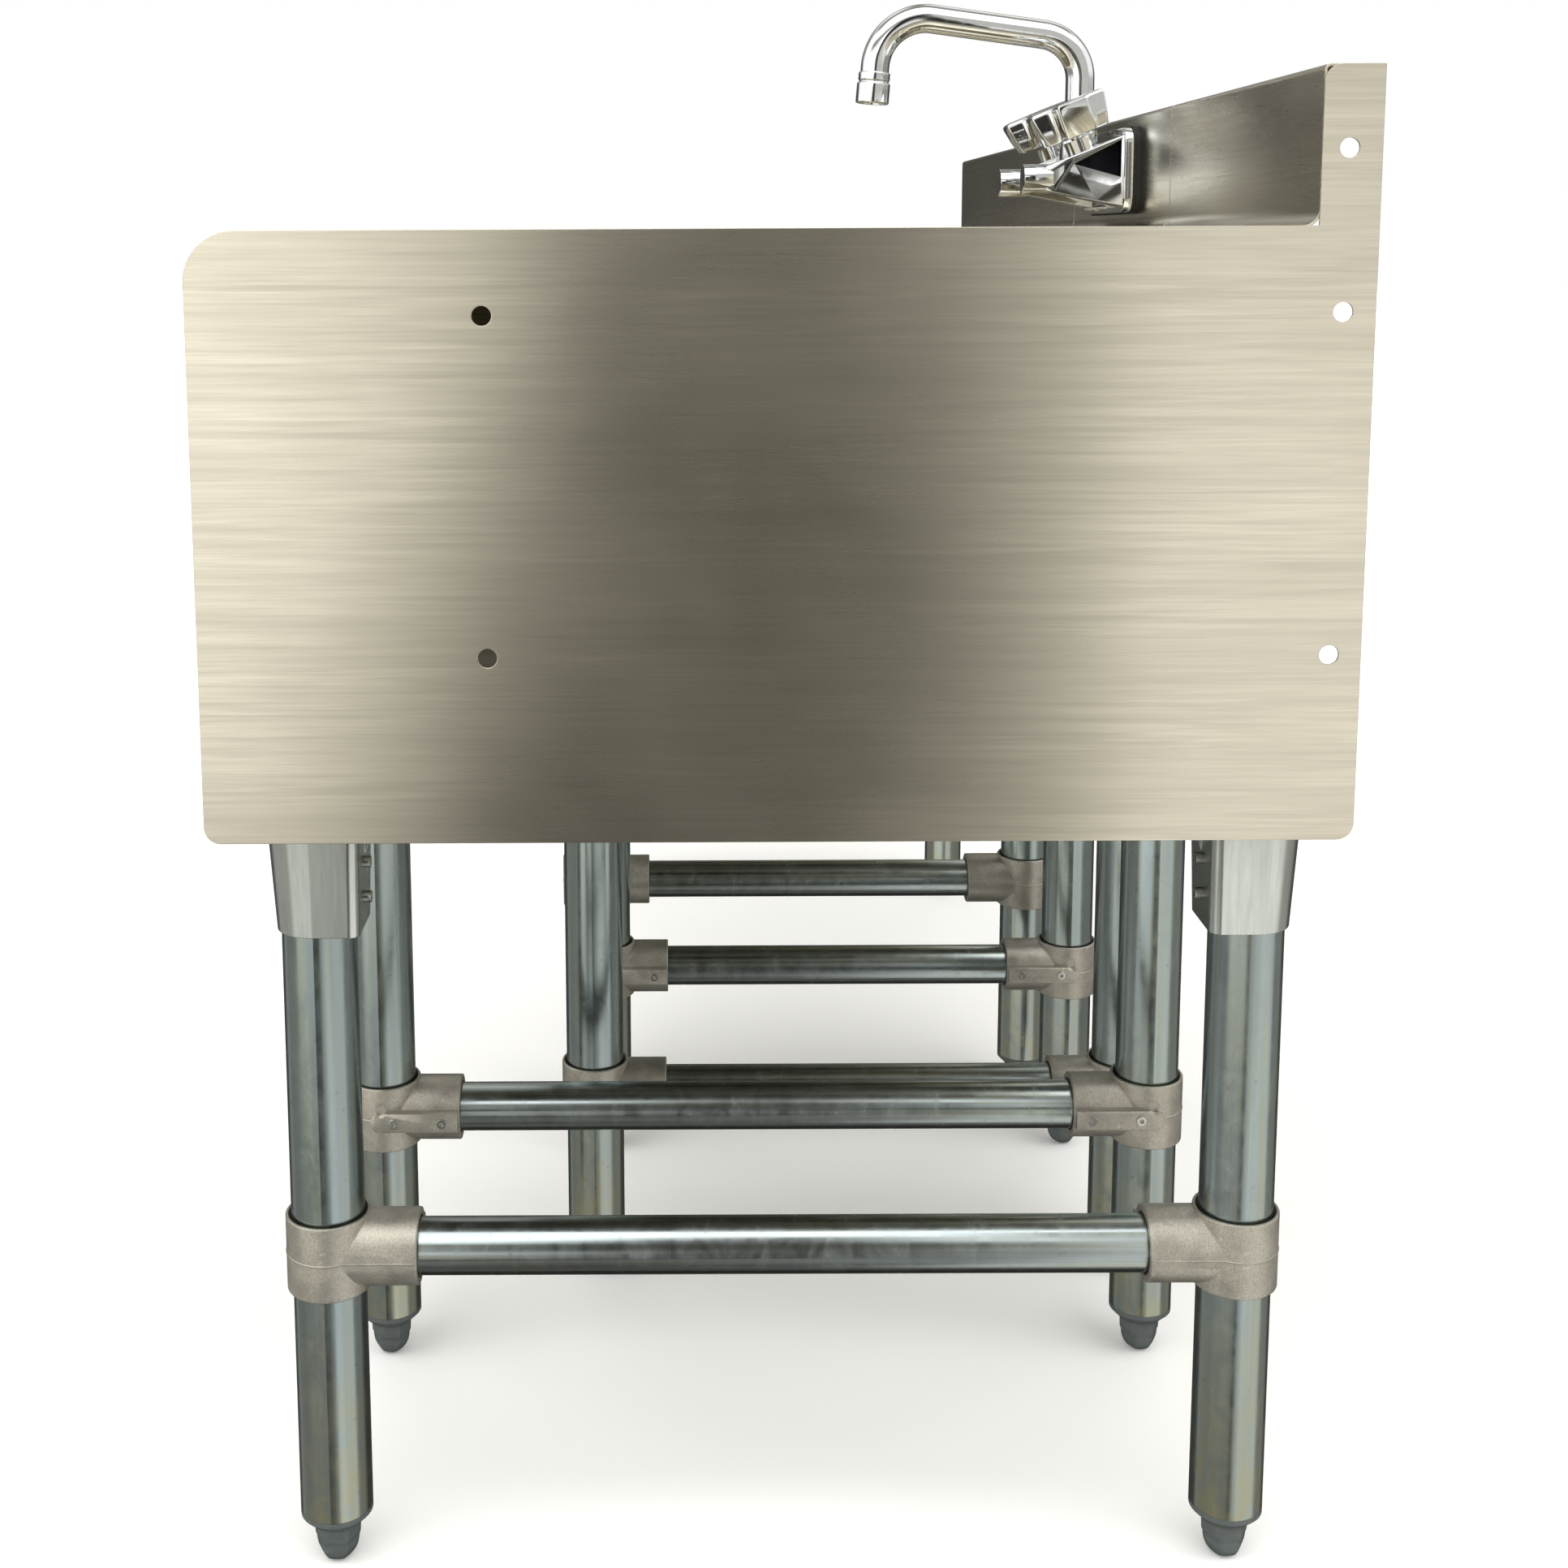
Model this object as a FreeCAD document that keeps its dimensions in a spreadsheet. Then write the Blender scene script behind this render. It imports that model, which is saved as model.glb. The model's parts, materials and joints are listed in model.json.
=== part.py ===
import FreeCAD, Part, Sketcher
import math
import os
import re

# Underbar hand-wash sink run: a deep end section, a hand-sink section with a wall-mount swivel
# faucet, and a long drainboard section, bolted side by side on tubular legs.
# Millimetres. +X points to the right-hand end panel, +Y to the wall, +Z up. The origin lies on
# the floor at the middle of the run's outline.

CELLS = (
    ("deep_width", 304, "width of the deep end section"),
    ("basin_width", 310, "width of the hand-sink section"),
    ("board_width", 641, "width of the drainboard section"),
    ("deep_depth", 597, "front to back of the deep section"),
    ("main_depth", 467, "front to back of the other two sections"),
    ("deck_height", 762, "working surface above the floor"),
    ("side_drop", 316, "end panel below the working surface"),
    ("splash_rise", 79, "backsplash above the working surface"),
    ("splash_thick", 30, "backsplash front to back"),
    ("sheet_gauge", 1.2, "stainless sheet"),
    ("nose_radius", 26.5, "rolled front edge"),
    ("cove_radius", 8, "bend from deck to backsplash"),
    ("lip_radius", 3, "other sheet bends, outside"),
    ("splash_lip", 20, "backsplash flange, down the back"),
    ("apron_gap", 12, "apron stops this far above the panel's bottom edge"),
    ("apron_hem", 15, "apron's inward hem"),
    ("foot_flange", 80, "panel's inward bottom flange"),
    ("flange_relief", 10, "bottom flange stops this far from front and back"),
    ("panel_corner", 9, "bottom corners and backsplash corner of a panel"),
    ("bolt_row_low", 218, "lower bolt holes below the deck"),
    ("bolt_row_high", 43, "upper bolt holes below the deck"),
    ("bolt_ear_rise", 38, "bolt hole above the deck"),
    ("bolt_rear_inset", 16.5, "rear bolt holes from the wall plane"),
    ("bolt_front_inset", 448, "front bolt holes from the wall plane"),
    ("bolt_hole_dia", 10, "clearance hole"),
    ("bolt_dia", 8, "section bolt"),
    ("bolt_head_dia", 15, "across the corners"),
    ("bolt_head_tall", 5.5, "hexagon head"),
    ("nut_tall", 6.5, "hexagon nut"),
    ("leg_od", 41.3, "leg tube"),
    ("leg_wall", 1.5, "leg tube wall"),
    ("leg_lift", 33, "leg's lower end above the floor"),
    ("leg_start_inset", 60, "first legs from the run's deep end"),
    ("leg_finish_inset", 36, "last legs from the run's other end"),
    ("leg_near_inset", 76, "a later section's first legs from its seam"),
    ("leg_far_inset", 31, "a section's last legs from its seam"),
    ("leg_front_inset", 54, "leg axis from its section's front"),
    ("leg_rear_inset", 29, "leg axis from the wall plane"),
    ("deep_leg_shift", 7, "deep section's legs stand this far forward"),
    ("board_leg_shift", 17, "drainboard legs stand this far forward"),
    ("brace_od", 31.8, "cross brace tube"),
    ("brace_wall", 1.5, "cross brace wall"),
    ("brace_z_deep_near", 191, "brace heights, axis above the floor"),
    ("brace_z_deep_far", 176, ""),
    ("brace_z_basin_near", 141, ""),
    ("brace_z_basin_far", 156, ""),
    ("brace_z_board_near", 195, ""),
    ("brace_z_board_far", 175, ""),
    ("socket_wall", 3.35, "cast socket ring outside the leg"),
    ("socket_tall", 44, "cast socket ring height"),
    ("socket_side_wall", 5.35, "cast side tube outside the brace"),
    ("socket_reach", 52, "side tube end from the leg axis"),
    ("socket_fit", 0.3, "radial gap round leg and brace"),
    ("plate_tall", 12, "raised screw bar on a socket"),
    ("plate_proud", 3, "bar's face outside the ring"),
    ("screw_near", 9, "first set screw from the leg axis"),
    ("screw_pitch", 32, "second set screw from the first"),
    ("screw_dia", 6.5, "set screw"),
    ("screw_long", 4, "set screw head and shank that show"),
    ("screw_sink", 3, "set screw's seat below the bar's face"),
    ("screw_key", 3.2, "hexagon key hole"),
    ("gusset_tall", 65, "leg gusset"),
    ("gusset_top_gap", 6.35, "gusset's outside from the leg's surface, top"),
    ("gusset_low_gap", 4.85, "gusset's flat side from the leg's surface, bottom"),
    ("gusset_gauge", 1.8, "gusset sheet"),
    ("gusset_fit", 0.3, "gusset's lower edge from the leg"),
    ("gusset_wing", 7, "triangular wing at its top"),
    ("gusset_wing_tall", 28, "triangular wing's height"),
    ("gusset_screw_drop", 29, "upper set screw below the flange"),
    ("gusset_screw_pitch", 20, "lower set screw from the upper"),
    ("gusset_screw_proud", 2.5, "head outside the flat"),
    ("plug_collar_tall", 9, "plastic plug below the leg's end"),
    ("plug_collar_low_dia", 29.5, "plug's lower end"),
    ("plug_deep", 30, "plug inside the leg"),
    ("plug_fit", 0.1, "plug to leg wall, radial"),
    ("foot_flats", 25.3, "bullet foot across its flats"),
    ("foot_stud_dia", 16, "foot's stud"),
    ("foot_stud_long", 28, "foot's stud"),
    ("foot_stop_gap", 0.3, "foot to plug at its upper stop"),
    ("stud_fit", 0.08, "radial running gap"),
    ("bowl_wide", 230, "hand bowl opening, side to side"),
    ("bowl_long", 300, "hand bowl opening, front to back"),
    ("bowl_deep", 160, "hand bowl below the deck"),
    ("bowl_corner", 45, "hand bowl's upright corners"),
    ("bowl_base_corner", 25, "hand bowl's bottom edge"),
    ("bowl_rear_inset", 80, "bowl opening's back edge from the wall plane"),
    ("bowl_rim", 12, "bowl's flange under the deck"),
    ("rib_pitch", 64, "drainboard rib to rib"),
    ("rib_wide", 14, "drainboard rib"),
    ("rib_proud", 2.4, "drainboard rib above the deck"),
    ("rib_inset", 52, "ribs from the board's edges"),
    ("drain_hole_dia", 48, "hole in the bowl"),
    ("drain_pipe_dia", 44, "drain body outside"),
    ("drain_pipe_wall", 2, "drain body wall"),
    ("drain_flange_dia", 76, "drain flange in the bowl"),
    ("drain_flange_tall", 2.5, "drain flange"),
    ("drain_body_long", 44, "drain body below the bowl"),
    ("drain_nut_dia", 68, "drain lock nut"),
    ("drain_nut_tall", 12, "drain lock nut"),
    ("tail_dia", 38, "tailpiece"),
    ("tail_long", 120, "tailpiece"),
    ("tail_wall", 1.5, "tailpiece wall"),
    ("basket_dia", 37, "strainer basket"),
    ("basket_deep", 14, "strainer basket"),
    ("basket_rim_dia", 52, "strainer basket's rim"),
    ("basket_gap", 0.3, "basket's rim above its seat"),
    ("faucet_centres", 102, "valve to valve"),
    ("faucet_height", 40.5, "faucet axis above the deck"),
    ("flange_tall", 58, "faucet's wall flange"),
    ("gasket_thick", 5, "black gasket behind the flange"),
    ("body_reach", 78, "faucet body in front of the backsplash"),
    ("hub_dia", 20.5, "faucet hub at the front"),
    ("body_end", 22, "body beyond each valve"),
    ("flange_lip", 6, "wall flange front to back"),
    ("flange_corner", 11, "wall flange corners"),
    ("hub_drop", 5.5, "hub axis below the faucet axis"),
    ("hub_long", 20, "hub front to back"),
    ("horn_inset", 4, "tapered horn inside the flange's edge"),
    ("pocket_floor", 10, "side pocket's floor from the valve axis"),
    ("pocket_tip_out", 44, "side pocket's front corner from the backsplash"),
    ("pocket_rear_out", 13, "side pocket's rear edge from the backsplash"),
    ("pocket_tip_rise", 45, "side pocket's front corner above the deck"),
    ("pocket_low_rise", 36, "side pocket's lower rear corner above the deck"),
    ("pocket_high_rise", 61, "side pocket's upper rear corner above the deck"),
    ("tower_sink", 20, "valve tower below its seat"),
    ("bridge_deep", 30, "bridge between the valves, front to back"),
    ("bridge_tall", 26, "bridge between the valves"),
    ("shank_dia", 20.5, "threaded supply shank"),
    ("shank_long", 28, "shank behind the backsplash sheet"),
    ("shank_tail_dia", 20.1, "shank's free end, beyond its nut"),
    ("shank_shoulder", 1, "full-width shank that shows past its nut"),
    ("shank_wall", 3, "shank wall"),
    ("shank_nut_dia", 34, "shank nut across corners"),
    ("shank_nut_tall", 8, "shank nut"),
    ("valve_lean", 22, "degrees that the valves lean forward"),
    ("valve_out", 35.3, "valve axis foot from the backsplash"),
    ("valve_rise", 10, "valve seat above the faucet axis"),
    ("bonnet_dia", 20.5, "valve bonnet"),
    ("bonnet_tall", 13, "valve bonnet"),
    ("stem_dia", 8, "valve stem"),
    ("stem_tall", 13, "valve stem above the bonnet"),
    ("knob_span", 56, "four-lobe handle across"),
    ("knob_lobe", 21.5, "handle lobe width"),
    ("knob_tall", 25, "handle height"),
    ("knob_gap", 2, "handle above its bonnet"),
    ("knob_turn", 45, "degrees from a lobe to the run's length, at rest"),
    ("stem_fit", 0.06, "radial running gap"),
    ("spout_out", 29, "spout riser from the backsplash"),
    ("spout_dia", 20.5, "spout tube"),
    ("spout_wall", 1.5, "spout tube wall"),
    ("spout_reach", 177.6, "outlet from the backsplash"),
    ("spout_crown", 135.3, "riser's corner above the deck"),
    ("spout_front", 155.6, "front corner above the deck"),
    ("spout_front_out", 174, "front corner from the backsplash"),
    ("spout_end_rise", 109, "tube's end above the deck"),
    ("spout_rear_bend", 32, "rear bend, at the tube's axis"),
    ("spout_front_bend", 36, "front bend, at the tube's axis"),
    ("spout_foot_rise", 67, "tube's foot above the deck"),
    ("collar_dia", 29, "spout nut"),
    ("collar_tall", 15, "spout nut"),
    ("boss_rise", 70, "body's spout boss above the deck"),
    ("spout_fit", 0.08, "radial running gap"),
    ("spout_seat_gap", 10, "bore below the tube's foot"),
    ("aerator_dia", 24.1, "aerator"),
    ("aerator_tall", 18.5, "aerator"),
)

doc = FreeCAD.newDocument("handwash_run")
sheet = doc.addObject("Spreadsheet::Sheet", "Dims")
for row, (alias, value, note) in enumerate(CELLS, 1):
    sheet.set("A%d" % row, alias)
    sheet.set("B%d" % row, str(value))
    sheet.setAlias("B%d" % row, alias)
    sheet.set("C%d" % row, note)
doc.recompute()

HALF_RUN = "(deep_width + basin_width + board_width) / 2"
REAR = "deep_depth / 2"
PANEL_FOOT = "(deck_height - side_drop)"
BASIN_MID = "(%s - deep_width - basin_width / 2)" % HALF_RUN
SPLASH_FACE = "(%s - splash_thick)" % REAR
FAUCET_Z = "(deck_height + faucet_height)"
BOWL_MID_Y = "(%s - bowl_rear_inset - bowl_long / 2)" % REAR
BOWL_FLOOR = "(deck_height - bowl_deep)"
SIXTH = FreeCAD.Rotation(FreeCAD.Vector(0, 0, 1), 30)
UPRIGHT = FreeCAD.Rotation()
ALONG_X = FreeCAD.Rotation(FreeCAD.Vector(0, 0, 1), FreeCAD.Vector(1, 0, 0))
ALONG_Y = FreeCAD.Rotation(FreeCAD.Vector(0, 0, 1), FreeCAD.Vector(0, 1, 0))
ALONG_MINUS_Y = FreeCAD.Rotation(FreeCAD.Vector(0, 0, 1), FreeCAD.Vector(0, -1, 0))
nodes = []


def size(alias):
    """A driving dimension's number, for the shapes that Part's functions make."""
    return float(sheet.get(alias))


def bind(thing, path, text):
    """Ties a property to the sheet. Every alias holds an underscore, so it can be told apart."""
    thing.setExpression(path, re.sub(r"\b[a-z]+(?:_[a-z]+)+\b", r"Dims.\g<0>", text))


def put(thing, place, turn=UPRIGHT):
    """Sets where a piece stands, each coordinate tied to the sheet."""
    thing.Placement = FreeCAD.Placement(FreeCAD.Vector(), turn)
    for axis, text in zip("xyz", place):
        bind(thing, "Placement.Base.%s" % axis, text)
    return thing


def cylinder(radius, tall, place, turn=UPRIGHT):
    made = doc.addObject("Part::Cylinder", "Round")
    bind(made, "Radius", radius)
    bind(made, "Height", tall)
    return put(made, place, turn)


def cone(low, high, tall, place, turn=UPRIGHT):
    made = doc.addObject("Part::Cone", "Taper")
    bind(made, "Radius1", low)
    bind(made, "Radius2", high)
    bind(made, "Height", tall)
    return put(made, place, turn)


def block(wide, long, tall, place):
    made = doc.addObject("Part::Box", "Block")
    bind(made, "Length", wide)
    bind(made, "Width", long)
    bind(made, "Height", tall)
    return put(made, place)


def hexagon(corner_radius, tall, place, turn=UPRIGHT):
    made = doc.addObject("Part::Prism", "Hexagon")
    made.Polygon = 6
    bind(made, "Circumradius", corner_radius)
    bind(made, "Height", tall)
    return put(made, place, turn)


def fused(pieces):
    made = doc.addObject("Part::MultiFuse", "Joined")
    made.Shapes = pieces
    made.Refine = True
    return made


def cut(base, tools):
    made = doc.addObject("Part::Cut", "Cut")
    made.Base = base
    made.Tool = tools[0] if len(tools) == 1 else fused(tools)
    made.Refine = True
    return made


def tube(radius, wall, tall, place, turn=UPRIGHT):
    outside = cylinder(radius, tall, place, turn)
    inside = cylinder("%s - %s" % (radius, wall), tall, place, turn)
    return cut(outside, [inside])


def node(label, thing):
    """Names the sub-part that goes out as one file."""
    thing.Label = label
    nodes.append(thing)
    return thing


def group(label, pieces):
    made = doc.addObject("Part::Compound", "Group")
    made.Links = pieces
    return node(label, made)


def feature(label, shape):
    """A sub-part whose shape is made by Part's own functions."""
    made = doc.addObject("Part::Feature", "Shaped")
    made.Shape = shape
    return node(label, made)


# ---------------------------------------------------------------- sketches and bodies


def origin_plane(body, role):
    return next(f for f in body.Origin.OriginFeatures if f.Role == role)


def new_sketch(body, role):
    sketch = body.newObject("Sketcher::SketchObject", "Sketch")
    sketch.AttachmentSupport = [(origin_plane(body, role), "")]
    sketch.MapMode = "FlatFace"
    return sketch


def fix_point(sketch, item, end, across, up):
    """Ties one point of a sketch to the sheet, measured from the sketch's origin."""
    for kind, text in (("DistanceX", across), ("DistanceY", up)):
        index = sketch.addConstraint(Sketcher.Constraint(kind, -1, 1, item, end, 1.0))
        bind(sketch, "Constraints[%d]" % index, text)


def outline(sketch, corners):
    """A closed outline of straight lines through corners that are tied to the sheet."""
    count = len(corners)
    rough = []
    for step in range(count):
        turn = 2 * math.pi * step / count
        rough.append(FreeCAD.Vector(100 * math.cos(turn), 100 * math.sin(turn), 0))
    for step in range(count):
        sketch.addGeometry(Part.LineSegment(rough[step], rough[(step + 1) % count]), False)
    for step in range(count):
        joint = Sketcher.Constraint("Coincident", step, 2, (step + 1) % count, 1)
        sketch.addConstraint(joint)
    for step, (across, up) in enumerate(corners):
        fix_point(sketch, step, 1, across, up)


def ring(sketch, across, up, radius):
    circle = Part.Circle(FreeCAD.Vector(1, 1, 0), FreeCAD.Vector(0, 0, 1), 1)
    item = sketch.addGeometry(circle, False)
    fix_point(sketch, item, 3, across, up)
    index = sketch.addConstraint(Sketcher.Constraint("Radius", item, 1.0))
    bind(sketch, "Constraints[%d]" % index, radius)


def pad(body, sketch, long, reversed_way=False, both_ways=False):
    made = body.newObject("PartDesign::Pad", "Pad")
    made.Profile = sketch
    made.Reversed = reversed_way
    made.Midplane = both_ways
    bind(made, "Length", long)
    return made


def turned(label, corners, place, turn=UPRIGHT):
    """A body turned about its own upright axis from a closed outline of radius and height."""
    body = doc.addObject("PartDesign::Body", "Turned")
    sketch = new_sketch(body, "XZ_Plane")
    outline(sketch, corners)
    made = body.newObject("PartDesign::Revolution", "Revolution")
    made.Profile = sketch
    made.ReferenceAxis = (sketch, ["V_Axis"])
    made.Angle = 360
    put(body, place, turn)
    return node(label, body) if label else body


# ---------------------------------------------------------------- sheet-metal shell


def panel(label, depth, side_x, inward):
    """A side panel: flat sheet with a backsplash ear, five bolt holes and a foot flange."""
    body = doc.addObject("PartDesign::Body", "Panel")
    flat = new_sketch(body, "YZ_Plane")
    outline(
        flat,
        (
            ("-%s" % depth, PANEL_FOOT),
            ("0", PANEL_FOOT),
            ("0", "deck_height + splash_rise"),
            ("-splash_thick", "deck_height + splash_rise"),
            ("-splash_thick", "deck_height"),
            ("-%s" % depth, "deck_height"),
        ),
    )
    holes = (
        ("bolt_rear_inset", "deck_height - bolt_row_low"),
        ("bolt_rear_inset", "deck_height - bolt_row_high"),
        ("bolt_rear_inset", "deck_height + bolt_ear_rise"),
        ("bolt_front_inset", "deck_height - bolt_row_low"),
        ("bolt_front_inset", "deck_height - bolt_row_high"),
    )
    for back, up in holes:
        ring(flat, "-%s" % back, up, "bolt_hole_dia / 2")
    sheet_pad = pad(body, flat, "sheet_gauge", reversed_way=inward < 0)
    fold = new_sketch(body, "XZ_Plane")
    low, high = ("0", "foot_flange") if inward > 0 else ("-foot_flange", "0")
    outline(
        fold,
        (
            (low, PANEL_FOOT),
            (high, PANEL_FOOT),
            (high, "%s + sheet_gauge" % PANEL_FOOT),
            (low, "%s + sheet_gauge" % PANEL_FOOT),
        ),
    )
    fold.AttachmentOffset = FreeCAD.Placement()
    bind(fold, "AttachmentOffset.Base.z", "flange_relief")
    flange = pad(body, fold, "%s - 2 * flange_relief" % depth)
    put(body, (side_x, REAR, "0"))
    doc.recompute()
    corners = (
        ("nose_radius", -size(depth), size("deck_height")),
        ("panel_corner", -size(depth), size("deck_height") - size("side_drop")),
        ("panel_corner", 0, size("deck_height") - size("side_drop")),
        ("panel_corner", -size("splash_thick"), size("deck_height") + size("splash_rise")),
    )
    shape = flange.Shape
    last = flange
    for radius, across, up in corners:
        named = []
        for number, edge in enumerate(last.Shape.Edges, 1):
            ends = [v.Point for v in edge.Vertexes]
            along = len(ends) == 2 and abs(ends[0].x - ends[1].x) > size("sheet_gauge") / 2
            here = all(abs(p.y - across) < 0.01 for p in ends)
            level = all(abs(p.z - up) < 0.01 for p in ends)
            if along and here and level:
                named.append("Edge%d" % number)
        rounded = body.newObject("PartDesign::Fillet", "Rounded")
        rounded.Base = (last, named)
        bind(rounded, "Radius", radius)
        doc.recompute()
        last = rounded
    return node(label, body)


def bent(points, radii, gauge):
    """The section of a bent sheet in Y and Z. Its outer side follows the points, rounded by the
    radii at the bends, and the sheet lies on the left of that line."""
    vectors = [FreeCAD.Vector(0, y, z) for y, z in points]
    sides = ([], [])
    for step in range(len(vectors) - 1):
        start, end = vectors[step], vectors[step + 1]
        way = (end - start).normalize()
        left = FreeCAD.Vector(0, -way.z, way.y)
        trims = []
        for corner, near in ((step, start), (step + 1, end)):
            if corner in (0, len(vectors) - 1):
                trims.append(0.0)
                continue
            before = (vectors[corner] - vectors[corner - 1]).normalize()
            after = (vectors[corner + 1] - vectors[corner]).normalize()
            trims.append(radii[corner - 1] * math.tan(before.getAngle(after) / 2))
        first, last = start + way * trims[0], end - way * trims[1]
        for side, offset in zip(sides, (0.0, gauge)):
            side.append((first + left * offset, last + left * offset))
    edges = []
    for side in sides:
        for step, (first, last) in enumerate(side):
            edges.append(Part.LineSegment(first, last).toShape())
            if step + 1 < len(side):
                following = side[step + 1][0]
                before = (vectors[step + 1] - vectors[step]).normalize()
                after = (vectors[step + 2] - vectors[step + 1]).normalize()
                toward = (after - before).normalize()
                reach = radii[step] / math.cos(before.getAngle(after) / 2)
                centre = vectors[step + 1] + toward * reach
                radius = (last - centre).Length
                middle = centre - toward * radius
                edges.append(Part.Arc(last, middle, following).toShape())
    for end in (0, -1):
        pick = 0 if end == 0 else 1
        caps = [side[end][pick] for side in sides]
        edges.append(Part.LineSegment(caps[0], caps[1]).toShape())
    return Part.Face(Part.Wire(Part.__sortEdges__(edges)))


def top_shape(depth, left_x, width):
    """One sheet: backsplash flange, backsplash, deck, rolled nose, apron and hem."""
    deck = size("deck_height")
    crown = deck + size("splash_rise")
    rear = size("deep_depth") / 2
    face = rear - size("splash_thick")
    front = rear - depth
    foot = deck - size("side_drop") + size("apron_gap")
    lip = size("lip_radius")
    section = bent(
        (
            (rear, crown - size("splash_lip")),
            (rear, crown),
            (face, crown),
            (face, deck),
            (front, deck),
            (front, foot),
            (front + size("apron_hem"), foot),
        ),
        (lip, lip, size("cove_radius"), size("nose_radius"), lip),
        size("sheet_gauge"),
    )
    section.translate(FreeCAD.Vector(left_x, 0, 0))
    return section.extrude(FreeCAD.Vector(width, 0, 0))


def rounded_block(wide, long, tall, corner, base_corner, centre, low):
    """A block with round upright corners and, where asked, a round bottom edge."""
    corner_point = FreeCAD.Vector(centre.x - wide / 2, centre.y - long / 2, low)
    shape = Part.makeBox(wide, long, tall, corner_point)
    upright = [e for e in shape.Edges if abs(e.Vertexes[0].Z - e.Vertexes[1].Z) > tall / 2]
    shape = shape.makeFillet(corner, upright)
    if base_corner:
        floor = [e for e in shape.Edges if all(abs(v.Z - low) < 0.001 for v in e.Vertexes)]
        shape = shape.makeFillet(base_corner, floor)
    return shape


gauge = size("sheet_gauge")
half_run = (size("deep_width") + size("basin_width") + size("board_width")) / 2
deep_right = half_run
basin_right = deep_right - size("deep_width")
board_right = basin_right - size("basin_width")
deck = size("deck_height")
bowl_centre = FreeCAD.Vector(
    basin_right - size("basin_width") / 2,
    size("deep_depth") / 2 - size("bowl_rear_inset") - size("bowl_long") / 2,
    0,
)

panel("end_panel_near", "deep_depth", HALF_RUN, -1)
panel("panel_deep_far", "deep_depth", "%s - deep_width" % HALF_RUN, 1)
panel("panel_basin_near", "main_depth", "%s - deep_width" % HALF_RUN, -1)
panel("panel_basin_far", "main_depth", "%s - deep_width - basin_width" % HALF_RUN, 1)
panel("panel_board_near", "main_depth", "%s - deep_width - basin_width" % HALF_RUN, -1)
panel("end_panel_far", "main_depth", "-%s" % HALF_RUN, 1)

feature(
    "deep_top",
    top_shape(size("deep_depth"), basin_right + gauge, size("deep_width") - 2 * gauge),
)


def board_top():
    """The drainboard: a sheet top with rounded ribs that run from back to front."""
    left = board_right - size("board_width") + gauge
    width = size("board_width") - 2 * gauge
    shell = top_shape(size("main_depth"), left, width)
    pitch = size("rib_pitch")
    count = int((width - 2 * size("rib_inset")) / pitch)
    start = left + (width - (count - 1) * pitch) / 2
    rear = size("deep_depth") / 2 - size("splash_thick") - size("rib_inset")
    long = size("main_depth") - size("splash_thick") - 2 * size("rib_inset")
    proud = size("rib_proud")
    radius = (size("rib_wide") ** 2 / 4 + proud**2) / (2 * proud)
    for step in range(count):
        foot = FreeCAD.Vector(start + step * pitch, rear, deck + proud - radius)
        rib = Part.makeCylinder(radius, long, foot, FreeCAD.Vector(0, -1, 0))
        keep = Part.makeBox(
            size("rib_wide") + 2, long, proud + gauge,
            FreeCAD.Vector(foot.x - size("rib_wide") / 2 - 1, rear - long, deck - gauge / 2),
        )
        shell = shell.fuse(rib.common(keep))
    return shell.removeSplitter()


feature("board_top", board_top())


def basin_top():
    shell = top_shape(size("main_depth"), board_right + gauge, size("basin_width") - 2 * gauge)
    bowl = rounded_block(
        size("bowl_wide"), size("bowl_long"), 4 * gauge, size("bowl_corner"), 0,
        bowl_centre, deck - 2 * gauge,
    )
    shell = shell.cut(bowl)
    lift = deck + size("faucet_height")
    face = size("deep_depth") / 2 - size("splash_thick")
    for side in (-1, 1):
        x = bowl_centre.x + side * size("faucet_centres") / 2
        hole = Part.makeCylinder(
            size("shank_dia") / 2 + 0.5, 10, FreeCAD.Vector(x, face - 5, lift),
            FreeCAD.Vector(0, 1, 0),
        )
        shell = shell.cut(hole)
    return shell


def hand_bowl():
    """The pressed bowl: a thin shell with a rim flange against the deck's underside."""
    under = deck - gauge
    floor = deck - size("bowl_deep")
    inner = (size("bowl_wide"), size("bowl_long"))
    cavity = rounded_block(
        *inner, 2 * size("bowl_deep"), size("bowl_corner"), size("bowl_base_corner"),
        bowl_centre, floor,
    )
    skin = rounded_block(
        inner[0] + 2 * gauge, inner[1] + 2 * gauge, under - floor + gauge,
        size("bowl_corner") + gauge, size("bowl_base_corner") + gauge, bowl_centre, floor - gauge,
    )
    rim = size("bowl_rim")
    flange = rounded_block(
        inner[0] + 2 * rim, inner[1] + 2 * rim, gauge, size("bowl_corner") + rim, 0,
        bowl_centre, under - gauge,
    )
    hole_foot = FreeCAD.Vector(bowl_centre.x, bowl_centre.y, floor - 5)
    hole = Part.makeCylinder(size("drain_hole_dia") / 2, 10, hole_foot)
    return skin.fuse(flange).cut(cavity).cut(hole).removeSplitter()


feature("basin_top", basin_top())
feature("hand_bowl", hand_bowl())

# ---------------------------------------------------------------- legs, braces and feet

PAIRS = (
    # name, axis along the run, depth of its section, shift forward, side that its screws face
    ("deep_near", "%s - leg_start_inset" % HALF_RUN, "deep_depth", "deep_leg_shift", -1),
    (
        "deep_far", "%s - deep_width + leg_far_inset" % HALF_RUN,
        "deep_depth", "deep_leg_shift", 1,
    ),
    ("basin_near", "%s - deep_width - leg_near_inset" % HALF_RUN, "main_depth", "0", -1),
    (
        "basin_far",
        "%s - deep_width - basin_width + leg_far_inset" % HALF_RUN,
        "main_depth", "0", 1,
    ),
    (
        "board_near",
        "%s - deep_width - basin_width - leg_near_inset" % HALF_RUN,
        "main_depth", "board_leg_shift", -1,
    ),
    ("board_far", "-%s + leg_finish_inset" % HALF_RUN, "main_depth", "board_leg_shift", 1),
)
LEG_R = "leg_od / 2"
BRACE_R = "brace_od / 2"
RING_R = "(leg_od / 2 + socket_wall)"
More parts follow.
